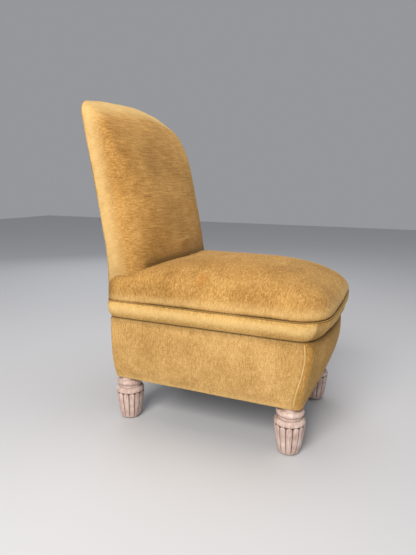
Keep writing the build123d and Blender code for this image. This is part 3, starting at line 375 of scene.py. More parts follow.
def crown_rings():
    """Rings from the flat base over the dome, the painted seam shade and the wear and painted highlight of
    each, and the top point.
    """
    rings, seam, wear_and_highlight = [], [], []
    for inset in (150.0, 60.0, 10.0):
        corners = max(SEAT_CORNER - inset, 20.0), max(SEAT_REAR_CORNER - inset, 10.0)
        loop = plan_loop(SEAT_HALF - inset, SEAT_FRONT + inset, SEAT_BOW, SEAT_REAR - inset, *corners)
        rings.append([(x, y, UPPER_SEAM_Z - 1.0) for x, y in loop])
        seam.append(1.0)
        wear_and_highlight.append(0.0)
    for i in range(CROWN_STEPS + 1):
        rise = math.sin(0.5 * math.pi * i / CROWN_STEPS)
        half, front, rear = crown_level(rise)
        foot = 1.0 - smooth(*CROWN_FOOT_RISE, rise)
        corners = min(SEAT_CORNER, 0.8 * half), min(SEAT_REAR_CORNER, 0.6 * half)
        loop = plan_loop(half - 2.0 * foot, front + 2.0 * foot, SEAT_BOW, rear, *corners)
        rings.append([crown_point(x, y, rise) for x, y in loop])
        # Painted shade in the upper seam's crease at the foot of the dome; the lower dome is lightened for
        # wear and as a painted highlight
        seam.append(0.25 * foot)
        wear_and_highlight.append(between(0.02, 0.1, 0.1, 0.35, rise))
    half, front, rear = crown_level(1.0)
    mid = 0.5 * (front + rear)
    for t in (0.35, 0.7, 0.95):
        left = 1 - t
        ends = front + 0.3 * t * (mid - front), SEAT_BOW * left, rear - 20.0 * t
        loop = plan_loop(half * left, *ends, 19.2 * left, 14.0 * left)
        rings.append([crown_point(x, y, 1.0) for x, y in loop])
        seam.append(0.0)
        wear_and_highlight.append(0.0)
    return rings, seam, wear_and_highlight, crown_point(0.0, mid, 1.0)


def make_wadding():
    """Felt that lies under the crown cover and stays clear of its edges."""
    rings, seam, wear_and_highlight, top = crown_rings()
    flat = 1.0 - WADDING_UNDER / SEAT_HALF
    lower = 1.0 - WADDING_UNDER / CROWN_HEIGHT

    def sunk(point):
        return point[0] * flat, point[1] * flat, UPPER_SEAM_Z + (point[2] - UPPER_SEAM_Z) * lower

    pad = []
    for ring in rings:
        loop = []
        for x, y, z in map(sunk, ring):
            x = min(WADDING_HALF, max(-WADDING_HALF, x))
            loop.append((x, max(WADDING_FRONT, y), max(WADDING_LOW, z)))
        pad.append(loop)
    return skin("seat_wadding_felt", pad, seam, wear_and_highlight, cap=sunk(top))


def make_crown_cover():
    """Domed cover, unevenly stuffed and shaded where it is tucked in against the back."""
    rings, seam, wear_and_highlight, top = crown_rings()
    crown = skin("seat_crown_cover", rings, seam, wear_and_highlight, cap=top)
    relax(crown, 6, 0.4)
    soften(crown, 2.4, 95.0, 3.1, 0.6)
    soften(crown, 0.7, 28.0, 7.7, 0.3)
    shade_near(crown, lambda x, y, z: back_front(x, z) - y, 0.5, 7.0)
    return crown


# Boxed band between the seams, one length a side
def make_band(side):
    rings, seam, wear_and_highlight = [], [], []
    for i in range(BAND_STEPS + 1):
        t = i / BAND_STEPS
        half = through(BAND_SHARES, BAND_HALVES, t)
        front = through(BAND_SHARES, BAND_FRONTS, t)
        bow = through(BAND_SHARES, BAND_BOWS, t)
        corner_radius = through(BAND_SHARES, BAND_CORNERS, t)
        pinch = 2.0 * (1.0 - smooth(0.0, 0.1, t)) + 1.5 * smooth(0.92, 1.0, t)
        ends = front + pinch, bow, SEAT_REAR - pinch
        loop = plan_loop(half - pinch, *ends, corner_radius, SEAT_REAR_CORNER)
        z = LOWER_SEAM_Z + (UPPER_SEAM_Z - LOWER_SEAM_Z) * t
        rings.append([(x, y, z) for x, y in run_of(loop, side)])
        # Painted shade in the creases of the lower and upper seams; the bulging middle is lightened for wear
        # and as a painted highlight
        seam.append(max(1.0 - smooth(0.0, 0.07, t), 0.3 * smooth(0.95, 1.0, t)))
        wear_and_highlight.append(between(0.2, 0.55, 0.7, 0.95, t))
    # The front band takes painted shade in the folds at its two corners
    shaded_ends = 7 if side == "front" else 1
    piece = skin(f"{side}_band", rings, seam, wear_and_highlight, closed=False, end_seam=shaded_ends)
    soften(piece, 1.2, 45.0, 11.3)
    soften(piece, 0.8, 15.0, 4.9)
    return piece


# Apron panels with a hem turned under the frame
def apron_ring(share, inset):
    """Plan outline of the apron at a share of its height, drawn in by an inset."""
    half = FRAME_HALF + APRON_COVER + through(APRON_SHARES, APRON_SIDE_SWELLS, share) - inset
    front = FRAME_FRONT - APRON_COVER - through(APRON_SHARES, APRON_FRONT_SWELLS, share) + inset
    bow = through(APRON_SHARES, APRON_BOWS, share)
    corners = max(18.0 - inset, 4.0), max(10.0 - inset, 3.0)
    return plan_loop(half, front, bow, FRAME_REAR + 4.5 - inset, *corners)


def apron_height(share):
    return HEM_Z + HEM_ROLL + (LOWER_SEAM_Z - HEM_Z - HEM_ROLL) * share


def make_apron(side):
    """One panel; its seams stand where the front corners start."""
    rings, seam, wear_and_highlight = [], [], []
    for inset, lift in APRON_HEM:
        run = run_of(apron_ring(0.0, inset), side, FRONT_ARC)
        rings.append([(x, y, HEM_Z + lift) for x, y in run])
        # The hem turned in under the frame takes painted shade; its outer rim is lightened for wear and as a
        # painted highlight
        seam.append(0.6 if inset > 1.0 else 0.0)
        wear_and_highlight.append(0.7 if inset < 1.0 else 0.0)
    for i in range(1, APRON_STEPS + 1):
        t = i / APRON_STEPS
        tuck = 2.6 * smooth(0.965, 1.0, t) + 0.9 * between(0.03, 0.07, 0.07, 0.12, t)
        run = run_of(apron_ring(t, tuck), side, FRONT_ARC)
        rings.append([(x, y, apron_height(t)) for x, y in run])
        # Painted shade in the upper seam's crease and painted shadow under the band's overhang; the bottom
        # is lightened for wear and as a painted highlight
        seam.append(max(smooth(0.972, 1.0, t), 0.42 * smooth(0.87, 0.99, t)))
        wear_and_highlight.append(0.7 * (1.0 - smooth(0.0, 0.05, t)))
    piece = skin(f"{side}_apron_panel", rings, seam, wear_and_highlight, closed=False, end_seam=1)
    soften(piece, 1.6, 80.0, 5.2)
    soften(piece, 0.5, 24.0, 9.4)
    return piece


# Rounded cords: the welt round the upper seam and the sewn corner ridges of the apron
def tube(name, path, radius, closed, seam, wear_and_highlight, sides=10):
    """Slightly uneven cord along a path; an open one narrows to its ends."""
    rings = []
    count = len(path)
    for i in range(count):
        here = Vector(path[i])
        after = Vector(path[(i + 1) % count] if closed else path[min(i + 1, count - 1)])
        before = Vector(path[i - 1] if closed or i else path[0])
        along = (after - before).normalized()
        side_on = Vector((0.0, 0.0, 1.0)) if abs(along.z) < 0.9 else Vector((1.0, 0.0, 0.0))
        across = along.cross(side_on).normalized()
        upward = across.cross(along)
        size = radius * (1.0 + 0.08 * noise.noise(here / 9.0))
        if not closed:
            size *= 0.35 + 0.65 * smooth(0.0, 3.0, min(i, count - 1 - i))
        ring = []
        for k in range(sides):
            a = 2.0 * math.pi * k / sides
            ring.append(tuple(here + across * (size * math.cos(a)) + upward * (size * math.sin(a))))
        rings.append(ring)
    if closed:
        rings.append(rings[0])
    points = [p for ring in rings for p in ring]
    faces = ring_faces(rings) + ([] if closed else end_faces(rings))
    cord = make_mesh(name, points, faces, [seam] * len(points), [wear_and_highlight] * len(points))
    cord.data.flip_normals()
    return cord


def make_welt():
    inset = 0.6
    ends = SEAT_FRONT + inset, SEAT_BOW, SEAT_REAR - inset
    loop = plan_loop(SEAT_HALF - inset, *ends, SEAT_CORNER, SEAT_REAR_CORNER)
    path = [(x, y, UPPER_SEAM_Z) for x, y in loop]
    # The welt cord is darkened with painted shade from the seam's crease
    return tube("seat_welt_cord", path, WELT_RADIUS, True, 0.6, 0.0)


def make_corner_ridge(name, side, last):
    """Sewn ridge up one front seam of the apron."""
    path = []
    for i in range(RIDGE_POINTS):
        t = 0.012 + 0.955 * i / (RIDGE_POINTS - 1)
        run = run_of(apron_ring(t, 0.2), side, FRONT_ARC)
        x, y = run[-1] if last else run[0]
        path.append((x, y, apron_height(t)))
    # The ridge is lightened for wear and as a painted highlight
    return tube(name, path, RIDGE_RADIUS, False, 0.0, 0.6)


# Padded back: crowned front cover with its edges, and the panel behind
def back_front(x, z):
    """How far back the front of the back stands, at a place across and a height."""
    rise = (z - BACK_BASE_Z) / math.cos(BACK_RAKE)
    depth = BACK_EDGE + BACK_CROWN * math.sqrt(max(0.0, 1.0 - (x / BACK_HALF) ** 2))
    if abs(x) > BACK_HALF:
        depth = 0.0
    return BACK_BASE_Y + rise * math.sin(BACK_RAKE) - depth * math.cos(BACK_RAKE)


def back_place(x, rise, depth):
    """Place in the chair of a point of the back, whose rear folds to upright near the seat."""
    rear = BACK_BASE_Y + rise * math.sin(BACK_RAKE)
    y = rear - depth * math.cos(BACK_RAKE)
    z = BACK_BASE_Z + rise * math.cos(BACK_RAKE) + depth * math.sin(BACK_RAKE)
    short = SEAT_REAR - 1.0 - rear
    fold = 0.5 * (short + math.sqrt(short**2 + BACK_FOLD_ROUND**2)) - 0.3
    y += max(0.0, fold) * max(0.0, 1.0 - max(depth, 0.0) / BACK_EDGE)
    return x, y, z


def back_loop(half, top, radius, low=0.0):
    """Outline in the back's own plane, from the low right corner over the top to the low left one."""
    bow = BACK_BOW * min(1.0, half / BACK_HALF + 0.2)
    xs = half - radius
    ys = top - bow * (xs / half) ** 2 - radius
    run = [(-half, low + (ys - low) * i / BACK_SIDE_RUN) for i in range(BACK_SIDE_RUN)]
    run += arc(-xs, ys, radius, 180, -90, BACK_ARC)
    for i in range(BACK_TOP_RUN):
        x = -xs + xs * i / BACK_TOP_RUN
        run.append((x, top - bow * (x / half) ** 2))
    return run + [(0.0, top)] + [(-x, y) for x, y in reversed(run)]


def back_level(depth):
    """Half width, top and corner radius of the back at a depth in front of its rear."""
    share = max(0.0, (depth - BACK_EDGE) / BACK_CROWN)
    fall = math.sqrt(max(0.0, 1.0 - share**2))
    drop = BACK_LENGTH - BACK_SLOPE * depth - BACK_DOME * (1.0 - fall) - BACK_LOW
    top = BACK_LOW + 0.5 * (drop + math.sqrt(drop**2 + BACK_LOW_ROUND**2))
    half = BACK_HALF * fall
    return half, top, max(1.0, min(BACK_CORNER + 0.06 * (BACK_LENGTH - top), 0.45 * half))


def above_tuck(x, y, z):
    """Height over the tuck line, taken as more near the sides, where the cover stays light."""
    return z - crown_over(x) - 10.0 + 38.0 * smooth(160.0, 198.0, abs(x))


def make_back_cover():
    """Front cover with its rolled rim, unevenly stuffed and shaded above the seat."""
    rings, seam, wear_and_highlight = [], [], []
    levels = list(BACK_RIM) + [(depth, 0.0) for depth in BACK_EDGE_DEPTHS]
    for i in range(1, BACK_STEPS):
        levels.append((BACK_EDGE + BACK_CROWN * math.sin(0.5 * math.pi * i / BACK_STEPS), 0.0))
    for depth, inset in levels:
        half, top, radius = back_level(depth)
        loop = back_loop(half - inset, top - inset, radius)
        rings.append([back_place(x, rise, depth) for x, rise in loop])
        # Painted shade in the seam round the rolled rim; the rim and edge strip are lightened for wear and
        # as a painted highlight
        seam.append(1.0 if depth < 2.0 and inset > 3.0 else 0.0)
        wear_and_highlight.append(0.8 * between(0.3, 4.0, 14.0, 60.0, depth))
    back = skin("inside_back_velvet", rings, seam, wear_and_highlight, closed=False, zipped=True)
    back.data.flip_normals()
    relax(back, 4, 0.35)
    soften(back, 3.0, 120.0, 21.0)
    soften(back, 0.8, 30.0, 2.2)
    for most, reach in ((1.0, 18.0), (0.6, 50.0)):
        shade_near(back, above_tuck, most, reach)
    return back


def make_back_panel():
    """Rear panel, sewn in round its edge."""
    rings, seam, wear_and_highlight = [], [], []
    for shrink in PANEL_SHRINKS:
        left = 1.0 - shrink
        top = BACK_LENGTH - PANEL_INSET - shrink * (BACK_LENGTH - 250.0)
        radius = max(PANEL_CORNER * left, 1.0)
        loop = back_loop((BACK_HALF - PANEL_INSET) * left, top, radius, 245.0 * shrink)
        swell = 1.6 - 2.4 * smooth(0.0, 0.05, shrink)
        rings.append([back_place(x, rise, swell) for x, rise in loop])
        # Painted shade in the seam round the panel's edge
        seam.append(1.0 - smooth(0.0, 0.02, shrink))
        wear_and_highlight.append(0.0)
    panel = skin("outside_back_velvet", rings, seam, wear_and_highlight, cap=back_place(0.0, 247.0, -0.8))
    soften(panel, 1.2, 110.0, 31.0)
    return panel


# Turned legs with reeded barrels
def leg_radius(z):
    """Turned profile: flared barrel, rounded shoulder, cove neck, collar and tenon."""
    if z <= LEG_SHOULDER:
        t = (z - LEG_FOOT) / (LEG_SHOULDER - LEG_FOOT)
        return FOOT_RADIUS + BARREL_FLARE * t + BARREL_SWELL * t * (1.0 - t)
    if z <= LEG_NECK:
        t = (z - LEG_SHOULDER) / (LEG_NECK - LEG_SHOULDER)
        return NECK_RADIUS + SHOULDER_STEP * math.sqrt(max(0.0, 1.0 - t * t))
    if z <= LEG_COLLAR:
        return NECK_RADIUS - NECK_COVE * math.sin(math.pi * (z - LEG_NECK) / (LEG_COLLAR - LEG_NECK))
    if z <= LEG_TOP:
        return NECK_RADIUS + COLLAR_SWELL * math.sin(math.pi * (z - LEG_COLLAR) / (LEG_TOP - LEG_COLLAR))
    return TENON_RADIUS


def make_leg(name, cx, cy):
    """Leg with round-topped reeds, with painted shade in the grooves and in the turned lines, and darker at
    the foot's bottom edge.
    """
    heights = [LEG_FOOT, 3.2, 3.8, 4.8]
    heights += [6.0 + 2.0 * i for i in range(29)]
    heights += [63.0 + 0.6 * i for i in range(39)]
    heights += [86.8 + 0.5 * i for i in range(39)]
    heights += [106.1, 113.0, 120.0]
    count = REEDS * REED_POINTS
    rings, groove_shade = [], []
    for z in heights:
        width = REED_WIDTH
        if z >= REED_TOP:
            width *= math.sqrt(max(0.0, 1.0 - ((z - REED_TOP) / REED_ARCH) ** 2))
        cut_share = between(4.4, 7.5, 72.6, 74.6, z)
        crown_share = REED_CROWN * between(6.0, 12.0, 63.0, 71.0, z)
        radius = leg_radius(z) - FOOT_CHAMFER * (1.0 - smooth(LEG_FOOT, 4.6, z))
        line = 1.0 - smooth(LEG_FOOT, 4.4, z)
        for depth, *span in LEG_LINE_SHADES:
            line = max(line, depth * between(*span, z))
        ring = []
        for j in range(count):
            across = abs(2.0 * ((j % REED_POINTS) + 0.5) / REED_POINTS - 1.0)
            cut = smooth(width - 0.02, width + 0.16, across) * cut_share
            r = radius - GROOVE_DEPTH * cut + crown_share * (1.0 - across**2)
            a = 2.0 * math.pi * (j + 0.5) / count
            ring.append((cx + r * math.cos(a), cy + r * math.sin(a), z))
            groove_shade.append(max(cut, line))
        rings.append(ring)
    points = [p for ring in rings for p in ring]
    return make_mesh(name, points, ring_faces(rings) + end_faces(rings), groove_shade)


def make_dust_cloth():
    """Black cloth under the frame, sagging a little, with holes for the legs."""
    half, front, rear = FRAME_HALF - CLOTH_INSET, FRAME_FRONT + CLOTH_INSET, FRAME_REAR - CLOTH_INSET
    nx, ny = 56, 76

    def spot(i, j):
        return -half + 2.0 * half * i / nx, front + (rear - front) * j / ny

    points = []
    for i in range(nx + 1):
        for j in range(ny + 1):
            x, y = spot(i, j)
            sag = CLOTH_SAG * math.sin(math.pi * i / nx) * math.sin(math.pi * j / ny)
            crease = 0.5 * noise.noise(Vector((x, y, 0.0)) / 60.0)
            points.append((x, y, HEM_Z - 0.6 - sag + crease))
    faces = []
    for i in range(nx):
        for j in range(ny):
            x, y = spot(i + 0.5, j + 0.5)
            if min(math.hypot(abs(x) - LEG_X, y - leg) for leg in (FRONT_LEG_Y, REAR_LEG_Y)) > CLOTH_HOLE:
                k = i * (ny + 1) + j
                faces.append((k, k + 1, k + ny + 2, k + ny + 1))
    sheet = make_mesh("dust_cloth", points, faces)
    sheet.modifiers.new("thickness", "SOLIDIFY").thickness = CLOTH_THICKNESS
    return sheet


# Shader helpers
def link(tree, source, target):
    tree.links.new(source, target)


def add_node(tree, kind, **values):
    n = tree.nodes.new(kind)
    for key, value in values.items():
        setattr(n, key, value)
    return n


def set_inputs(n, values):
    for word, value in values.items():
        n.inputs[word].default_value = value


def feed(tree, socket, value):
    """Sets a socket to a number or colour, or links it to another socket."""
    if isinstance(value, (int, float)):
        socket.default_value = value
    elif isinstance(value, tuple):
        socket.default_value = (*value, 1.0)
    else:
        link(tree, value, socket)


def object_spot(tree):
    return add_node(tree, "ShaderNodeTexCoord").outputs["Object"]


def attribute(tree, word):
    return add_node(tree, "ShaderNodeAttribute", attribute_name=word).outputs["Fac"]


def ramped(tree, value, stops):
    """Colour from a value by stops along a ramp."""
    ramp = add_node(tree, "ShaderNodeValToRGB")
    bar = ramp.color_ramp
    bar.elements[0].position, bar.elements[0].color = stops[0][0], (*stops[0][1], 1.0)
    bar.elements[1].position, bar.elements[1].color = stops[-1][0], (*stops[-1][1], 1.0)
    for stop, colour in stops[1:-1]:
        bar.elements.new(stop).color = (*colour, 1.0)
    link(tree, value, ramp.inputs[0])
    return ramp.outputs[0]


def noise_value(tree, vector, scale, detail, rough=0.5):
    n = add_node(tree, "ShaderNodeTexNoise")
    set_inputs(n, {"Scale": scale, "Detail": detail, "Roughness": rough})
    link(tree, vector, n.inputs["Vector"])
    return n.outputs[0]


def math_value(tree, kind, a, b):
    n = add_node(tree, "ShaderNodeMath", operation=kind)
    feed(tree, n.inputs[0], a)
    feed(tree, n.inputs[1], b)
    return n.outputs[0]


def weighed(tree, *pairs):
    """Sum of values, each times its weight."""
    total = None
    for value, weight in pairs:
        part = math_value(tree, "MULTIPLY", value, weight)
        total = part if total is None else math_value(tree, "ADD", total, part)
    return total


def mixed(tree, factor, a, b):
    """Colour between two colours."""
    n = add_node(tree, "ShaderNodeMix", data_type="RGBA", blend_type="MIX")
    for socket, value in ((n.inputs[0], factor), (n.inputs[6], a), (n.inputs[7], b)):
        feed(tree, socket, value)
    return n.outputs[2]


def give_bump(tree, shader, height, strength, distance):
    bump = add_node(tree, "ShaderNodeBump")
    set_inputs(bump, {"Strength": strength, "Distance": distance})
    link(tree, height, bump.inputs["Height"])
    link(tree, bump.outputs[0], shader.inputs["Normal"])


def new_group(name, inputs, outputs):
    group = bpy.data.node_groups.new(name, "ShaderNodeTree")
    for word, kind in inputs:
        group.interface.new_socket(word, in_out="INPUT", socket_type=kind)
    for word, kind in outputs:
        group.interface.new_socket(word, in_out="OUTPUT", socket_type=kind)
    return group, add_node(group, "NodeGroupInput"), add_node(group, "NodeGroupOutput")


def new_material(name):
    material = bpy.data.materials.new(name)
    material.use_nodes = True
    return material, material.node_tree, material.node_tree.nodes["Principled BSDF"]


STREAKS = ("Streak X", "Streak Y", "Streak Z")
BROAD_WEIGHT = 0.23
PATCH_WEIGHT = 0.1


def pile_group():
    """Crushed pile: broad mottling, streaks along the nap and fine tufts."""
    group, inside, outside = new_group(
        "crushed_pile",
        [(word, "NodeSocketFloat") for word in (*STREAKS, "Streak Share")],
        [("Tone", "NodeSocketFloat"), ("Tufts", "NodeSocketFloat")],
    )
    spot = object_spot(group)
    stretch = add_node(group, "ShaderNodeCombineXYZ")
    for axis, word in enumerate(STREAKS):
        link(group, inside.outputs[word], stretch.inputs[axis])
    scaled = add_node(group, "ShaderNodeVectorMath", operation="MULTIPLY")
    link(group, spot, scaled.inputs[0])
    link(group, stretch.outputs[0], scaled.inputs[1])
    broad = noise_value(group, spot, 9.0, 4.0, 0.6)
    patch = noise_value(group, spot, 38.0, 3.0, 0.6)
    streak = noise_value(group, scaled.outputs[0], 1.0, 4.0, 0.65)
    tuft = noise_value(group, spot, 420.0, 2.0, 0.7)
    share = inside.outputs["Streak Share"]
    rest = math_value(group, "SUBTRACT", 1.0 - BROAD_WEIGHT - PATCH_WEIGHT, share)
    tone = weighed(group, (broad, BROAD_WEIGHT), (patch, PATCH_WEIGHT), (streak, share), (tuft, rest))
    link(group, tone, outside.inputs["Tone"])
    link(group, weighed(group, (tuft, 0.6), (streak, 0.6)), outside.inputs["Tufts"])
    return group


def shade_wear_and_highlight_group():
    """Darkens a colour with painted shade where a seam is near, and lightens it where the cloth is worn and
    where a painted highlight falls on its edges.
    """
    colours = [(word, "NodeSocketColor") for word in ("Color", "Seam Shade Color", "Wear And Highlight Color")]
    group, inside, outside = new_group(
        "seam_and_wear",
        colours + [("Wear And Highlight Amount", "NodeSocketFloat")],
        [("Color", "NodeSocketColor")],
    )
    patchiness = noise_value(group, object_spot(group), 60.0, 3.0)
    amount = math_value(group, "MULTIPLY", attribute(group, "wear_and_highlight"), inside.outputs["Wear And Highlight Amount"])
    amount = math_value(group, "MULTIPLY", amount, math_value(group, "ADD", patchiness, 0.45))
    worn_and_highlit = mixed(group, amount, inside.outputs["Color"], inside.outputs["Wear And Highlight Color"])
    dark = math_value(group, "MULTIPLY", attribute(group, "seam"), 0.85)
    link(group, mixed(group, dark, worn_and_highlit, inside.outputs["Seam Shade Color"]), outside.inputs["Color"])
    return group


PILE = pile_group()
SHADE_WEAR_AND_HIGHLIGHT = shade_wear_and_highlight_group()
STAIN_DRAW = (0.45, 1.0, 0.45)
STAIN_COLOUR = (0.44, 0.145, 0.020)


def stained(tree, colour, stain_at):
    """Colour with one faint rusty stain, drawn out across the seat."""
    spot = object_spot(tree)
    shrunk = add_node(tree, "ShaderNodeVectorMath", operation="MULTIPLY")
    link(tree, spot, shrunk.inputs[0])
    shrunk.inputs[1].default_value = STAIN_DRAW
    away = add_node(tree, "ShaderNodeVectorMath", operation="DISTANCE")
    link(tree, shrunk.outputs[0], away.inputs[0])
    away.inputs[1].default_value = [share * at for share, at in zip(STAIN_DRAW, stain_at)]
    fade = add_node(tree, "ShaderNodeMapRange", interpolation_type="SMOOTHSTEP")
    set_inputs(fade, {"From Min": 0.003, "From Max": 0.016, "To Min": 0.9, "To Max": 0.0})
    link(tree, away.outputs["Value"], fade.inputs["Value"])
    blotch = noise_value(tree, spot, 190.0, 3.0)
    return mixed(tree, math_value(tree, "MULTIPLY", fade.outputs[0], blotch), colour, STAIN_COLOUR)


def velvet(name, streak, share, tones, wear_and_highlight_amount, stain_at=None):
    """Gold pile cloth with its own nap direction and dark, middle and light tones."""
    material, tree, shader = new_material(name)
    pile = add_node(tree, "ShaderNodeGroup", node_tree=PILE)
    set_inputs(pile, dict(zip(STREAKS, streak)))
    set_inputs(pile, {"Streak Share": share})
    colour = ramped(tree, pile.outputs["Tone"], tuple(zip((0.40, 0.5, 0.60), tones)))
    if stain_at:
        colour = stained(tree, colour, stain_at)
    worn_and_highlit = add_node(tree, "ShaderNodeGroup", node_tree=SHADE_WEAR_AND_HIGHLIGHT)
    # Dark colour for the painted seam shade, and a lighter one for wear and painted highlight
    set_inputs(worn_and_highlit, {"Seam Shade Color": (0.075, 0.040, 0.010, 1.0), "Wear And Highlight Color": (0.80, 0.56, 0.24, 1.0)})
    set_inputs(worn_and_highlit, {"Wear And Highlight Amount": wear_and_highlight_amount})
    link(tree, colour, worn_and_highlit.inputs["Color"])
    link(tree, worn_and_highlit.outputs["Color"], shader.inputs["Base Color"])
    give_bump(tree, shader, pile.outputs["Tufts"], 0.25, 0.001)
    set_inputs(shader, {"Roughness": 0.9, "Specular IOR Level": 0.15, "Sheen Weight": 0.24})
    set_inputs(shader, {"Sheen Roughness": 0.45, "Sheen Tint": (1.0, 0.74, 0.36, 1.0)})
    return material


def timber(name, dark, light, scale):
    """Plain wood with a fine grain."""
    material, tree, shader = new_material(name)
    grain = noise_value(tree, object_spot(tree), scale, 6.0, 0.65)
    link(tree, ramped(tree, grain, ((0.35, dark), (0.65, light))), shader.inputs["Base Color"])
    give_bump(tree, shader, grain, 0.2, 0.0006)
    set_inputs(shader, {"Roughness": 0.6})
    return material


def limed_wood():
    """Pale limed wood, with painted shade in the grooves and turned lines, darker at the foot's bottom edge,
    and its grain along the leg.
    """
    material, tree, shader = new_material("limed_leg_wood")
    spot = object_spot(tree)
    stretch = add_node(tree, "ShaderNodeMapping")
    set_inputs(stretch, {"Scale": (1.0, 1.0, 0.12)})
    link(tree, spot, stretch.inputs["Vector"])
    grain = noise_value(tree, stretch.outputs[0], 260.0, 5.0, 0.65)
    patch = noise_value(tree, spot, 45.0, 3.0)
    stops = ((0.36, (0.41, 0.27, 0.22)), (0.5, (0.62, 0.45, 0.385)), (0.62, (0.77, 0.62, 0.55)))
    pale = ramped(tree, weighed(tree, (grain, 0.6), (patch, 0.4)), stops)
    depth = math_value(tree, "MULTIPLY", attribute(tree, "seam"), 0.95)
    link(tree, mixed(tree, depth, pale, (0.075, 0.040, 0.026)), shader.inputs["Base Color"])
    give_bump(tree, shader, grain, 0.25, 0.0006)
    set_inputs(shader, {"Roughness": 0.55})
    return material


def woven(name, dark, light, pitch):
    """Plain cloth with a visible weave."""
    material, tree, shader = new_material(name)
    spot = object_spot(tree)
    threads = []
    for turn in (0.0, math.pi / 2):
        mapping = add_node(tree, "ShaderNodeMapping")
        set_inputs(mapping, {"Rotation": (0.0, 0.0, turn)})
        link(tree, spot, mapping.inputs["Vector"])
        wave = add_node(tree, "ShaderNodeTexWave")
        set_inputs(wave, {"Scale": pitch, "Distortion": 1.5})
        link(tree, mapping.outputs[0], wave.inputs["Vector"])
        threads.append(wave.outputs["Fac"])
    weave = math_value(tree, "MULTIPLY", *threads)
    fleck = noise_value(tree, spot, 80.0, 4.0)
    tone = weighed(tree, (weave, 0.5), (fleck, 0.6))
    link(tree, ramped(tree, tone, ((0.2, dark), (0.75, light))), shader.inputs["Base Color"])
    give_bump(tree, shader, weave, 0.4, 0.0008)
    set_inputs(shader, {"Roughness": 0.95})
    return material


def tufted(name, dark, light):
    """Curled stuffing or felted wadding."""
    material, tree, shader = new_material(name)
    curl = noise_value(tree, object_spot(tree), 220.0, 6.0, 0.75)
    link(tree, ramped(tree, curl, ((0.35, dark), (0.7, light))), shader.inputs["Base Color"])
    give_bump(tree, shader, curl, 0.6, 0.002)
    set_inputs(shader, {"Roughness": 1.0})
    return material


def metal(name, dark, light, rough):
    """Plain steel with stains."""
    material, tree, shader = new_material(name)
    stain = noise_value(tree, object_spot(tree), 120.0, 5.0, 0.6)
    link(tree, ramped(tree, stain, ((0.35, dark), (0.7, light))), shader.inputs["Base Color"])
    spread = add_node(tree, "ShaderNodeMapRange")
    set_inputs(spread, {"To Min": rough - 0.1, "To Max": rough + 0.15})
    link(tree, stain, spread.inputs["Value"])
    link(tree, spread.outputs[0], shader.inputs["Roughness"])
    set_inputs(shader, {"Metallic": 1.0})
    return material


# Dark, middle and light tones of the cloth for each face: the nap lies differently on each, and each face's
# tones are also painted lighter or darker for how the light falls on it, the front faces taking a shaded
# copy
SEAT_TONES = ((0.255, 0.119, 0.028), (0.415, 0.216, 0.056), (0.605, 0.350, 0.115))
BAND_TONES = ((0.34, 0.18, 0.046), (0.53, 0.305, 0.088), (0.72, 0.45, 0.16))
APRON_TONES = ((0.345, 0.188, 0.054), (0.525, 0.308, 0.101), (0.71, 0.44, 0.172))
BACK_TONES = ((0.275, 0.134, 0.031), (0.46, 0.234, 0.061), (0.635, 0.36, 0.113))
FRONT_SHADED_TONES = ((0.29, 0.148, 0.034), (0.445, 0.240, 0.062), (0.62, 0.36, 0.115))
STAIN_AT = (-0.167, -0.007, 0.382)
SEAT_VELVET = velvet("seat_velvet", (95.0, 270.0, 105.0), 0.34, SEAT_TONES, 0.35, STAIN_AT)
BAND_VELVET = velvet("band_velvet", (250.0, 250.0, 95.0), 0.30, BAND_TONES, 0.5)
APRON_VELVET = velvet("apron_velvet", (250.0, 250.0, 85.0), 0.30, APRON_TONES, 0.8)
BACK_VELVET = velvet("back_velvet", (20.0, 110.0, 370.0), 0.38, BACK_TONES, 0.75)
FRONT_SHADED_VELVET = velvet("front_shaded_velvet", (250.0, 250.0, 85.0), 0.30, FRONT_SHADED_TONES, 0.25)
LEG_WOOD = limed_wood()
FINISHES = {
    "beech": timber("planed_beech", (0.40, 0.24, 0.12), (0.60, 0.42, 0.25), 30.0),
    "dowel_wood": timber("dowel_rod_wood", (0.48, 0.32, 0.18), (0.64, 0.47, 0.30), 60.0),
    "glide_steel": metal("dull_nickel_glide", (0.36, 0.35, 0.33), (0.62, 0.61, 0.58), 0.4),
    "fastener_steel": metal("blued_fastener_steel", (0.04, 0.045, 0.06), (0.12, 0.125, 0.15), 0.4),
    "spring_steel": metal("copper_washed_wire", (0.30, 0.16, 0.09), (0.52, 0.32, 0.21), 0.35),
    "jute_webbing": woven("jute_webbing", (0.24, 0.15, 0.07), (0.44, 0.31, 0.17), 700.0),
    "hessian": woven("hessian_cloth", (0.26, 0.17, 0.08), (0.48, 0.35, 0.20), 900.0),
    "twine": woven("laid_twine", (0.34, 0.25, 0.13), (0.56, 0.44, 0.27), 1500.0),
    "fibre_stuffing": tufted("curled_fibre", (0.06, 0.035, 0.018), (0.24, 0.16, 0.09)),
    "cotton_wadding": tufted("cotton_felt", (0.60, 0.56, 0.48), (0.80, 0.77, 0.70)),
    "calico_lining": woven("calico", (0.58, 0.51, 0.40), (0.76, 0.70, 0.58), 1600.0),
    "dust_cloth": woven("black_cambric", (0.006, 0.006, 0.006), (0.028, 0.027, 0.026), 1600.0),
    "gold_velvet": SEAT_VELVET,
    "limed_wood": LEG_WOOD,
}


def dress(obj, material):
    obj.data.materials.clear()
    obj.data.materials.append(material)


def place(piece, material, slot, *nodes):
    """Gives a piece its cloth or wood, its body and the nodes that it stands for."""
    dress(piece, material)
    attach(piece, "chair")
    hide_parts(*nodes)


for entry in frame["record"]["subparts"]:
    dress(frame["nodes"][entry["node"]], FINISHES[entry["material_slot"]])

wadding = make_wadding()
dress(wadding, FINISHES["cotton_wadding"])
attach(wadding, "seat_crown")
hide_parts("seat_wadding")

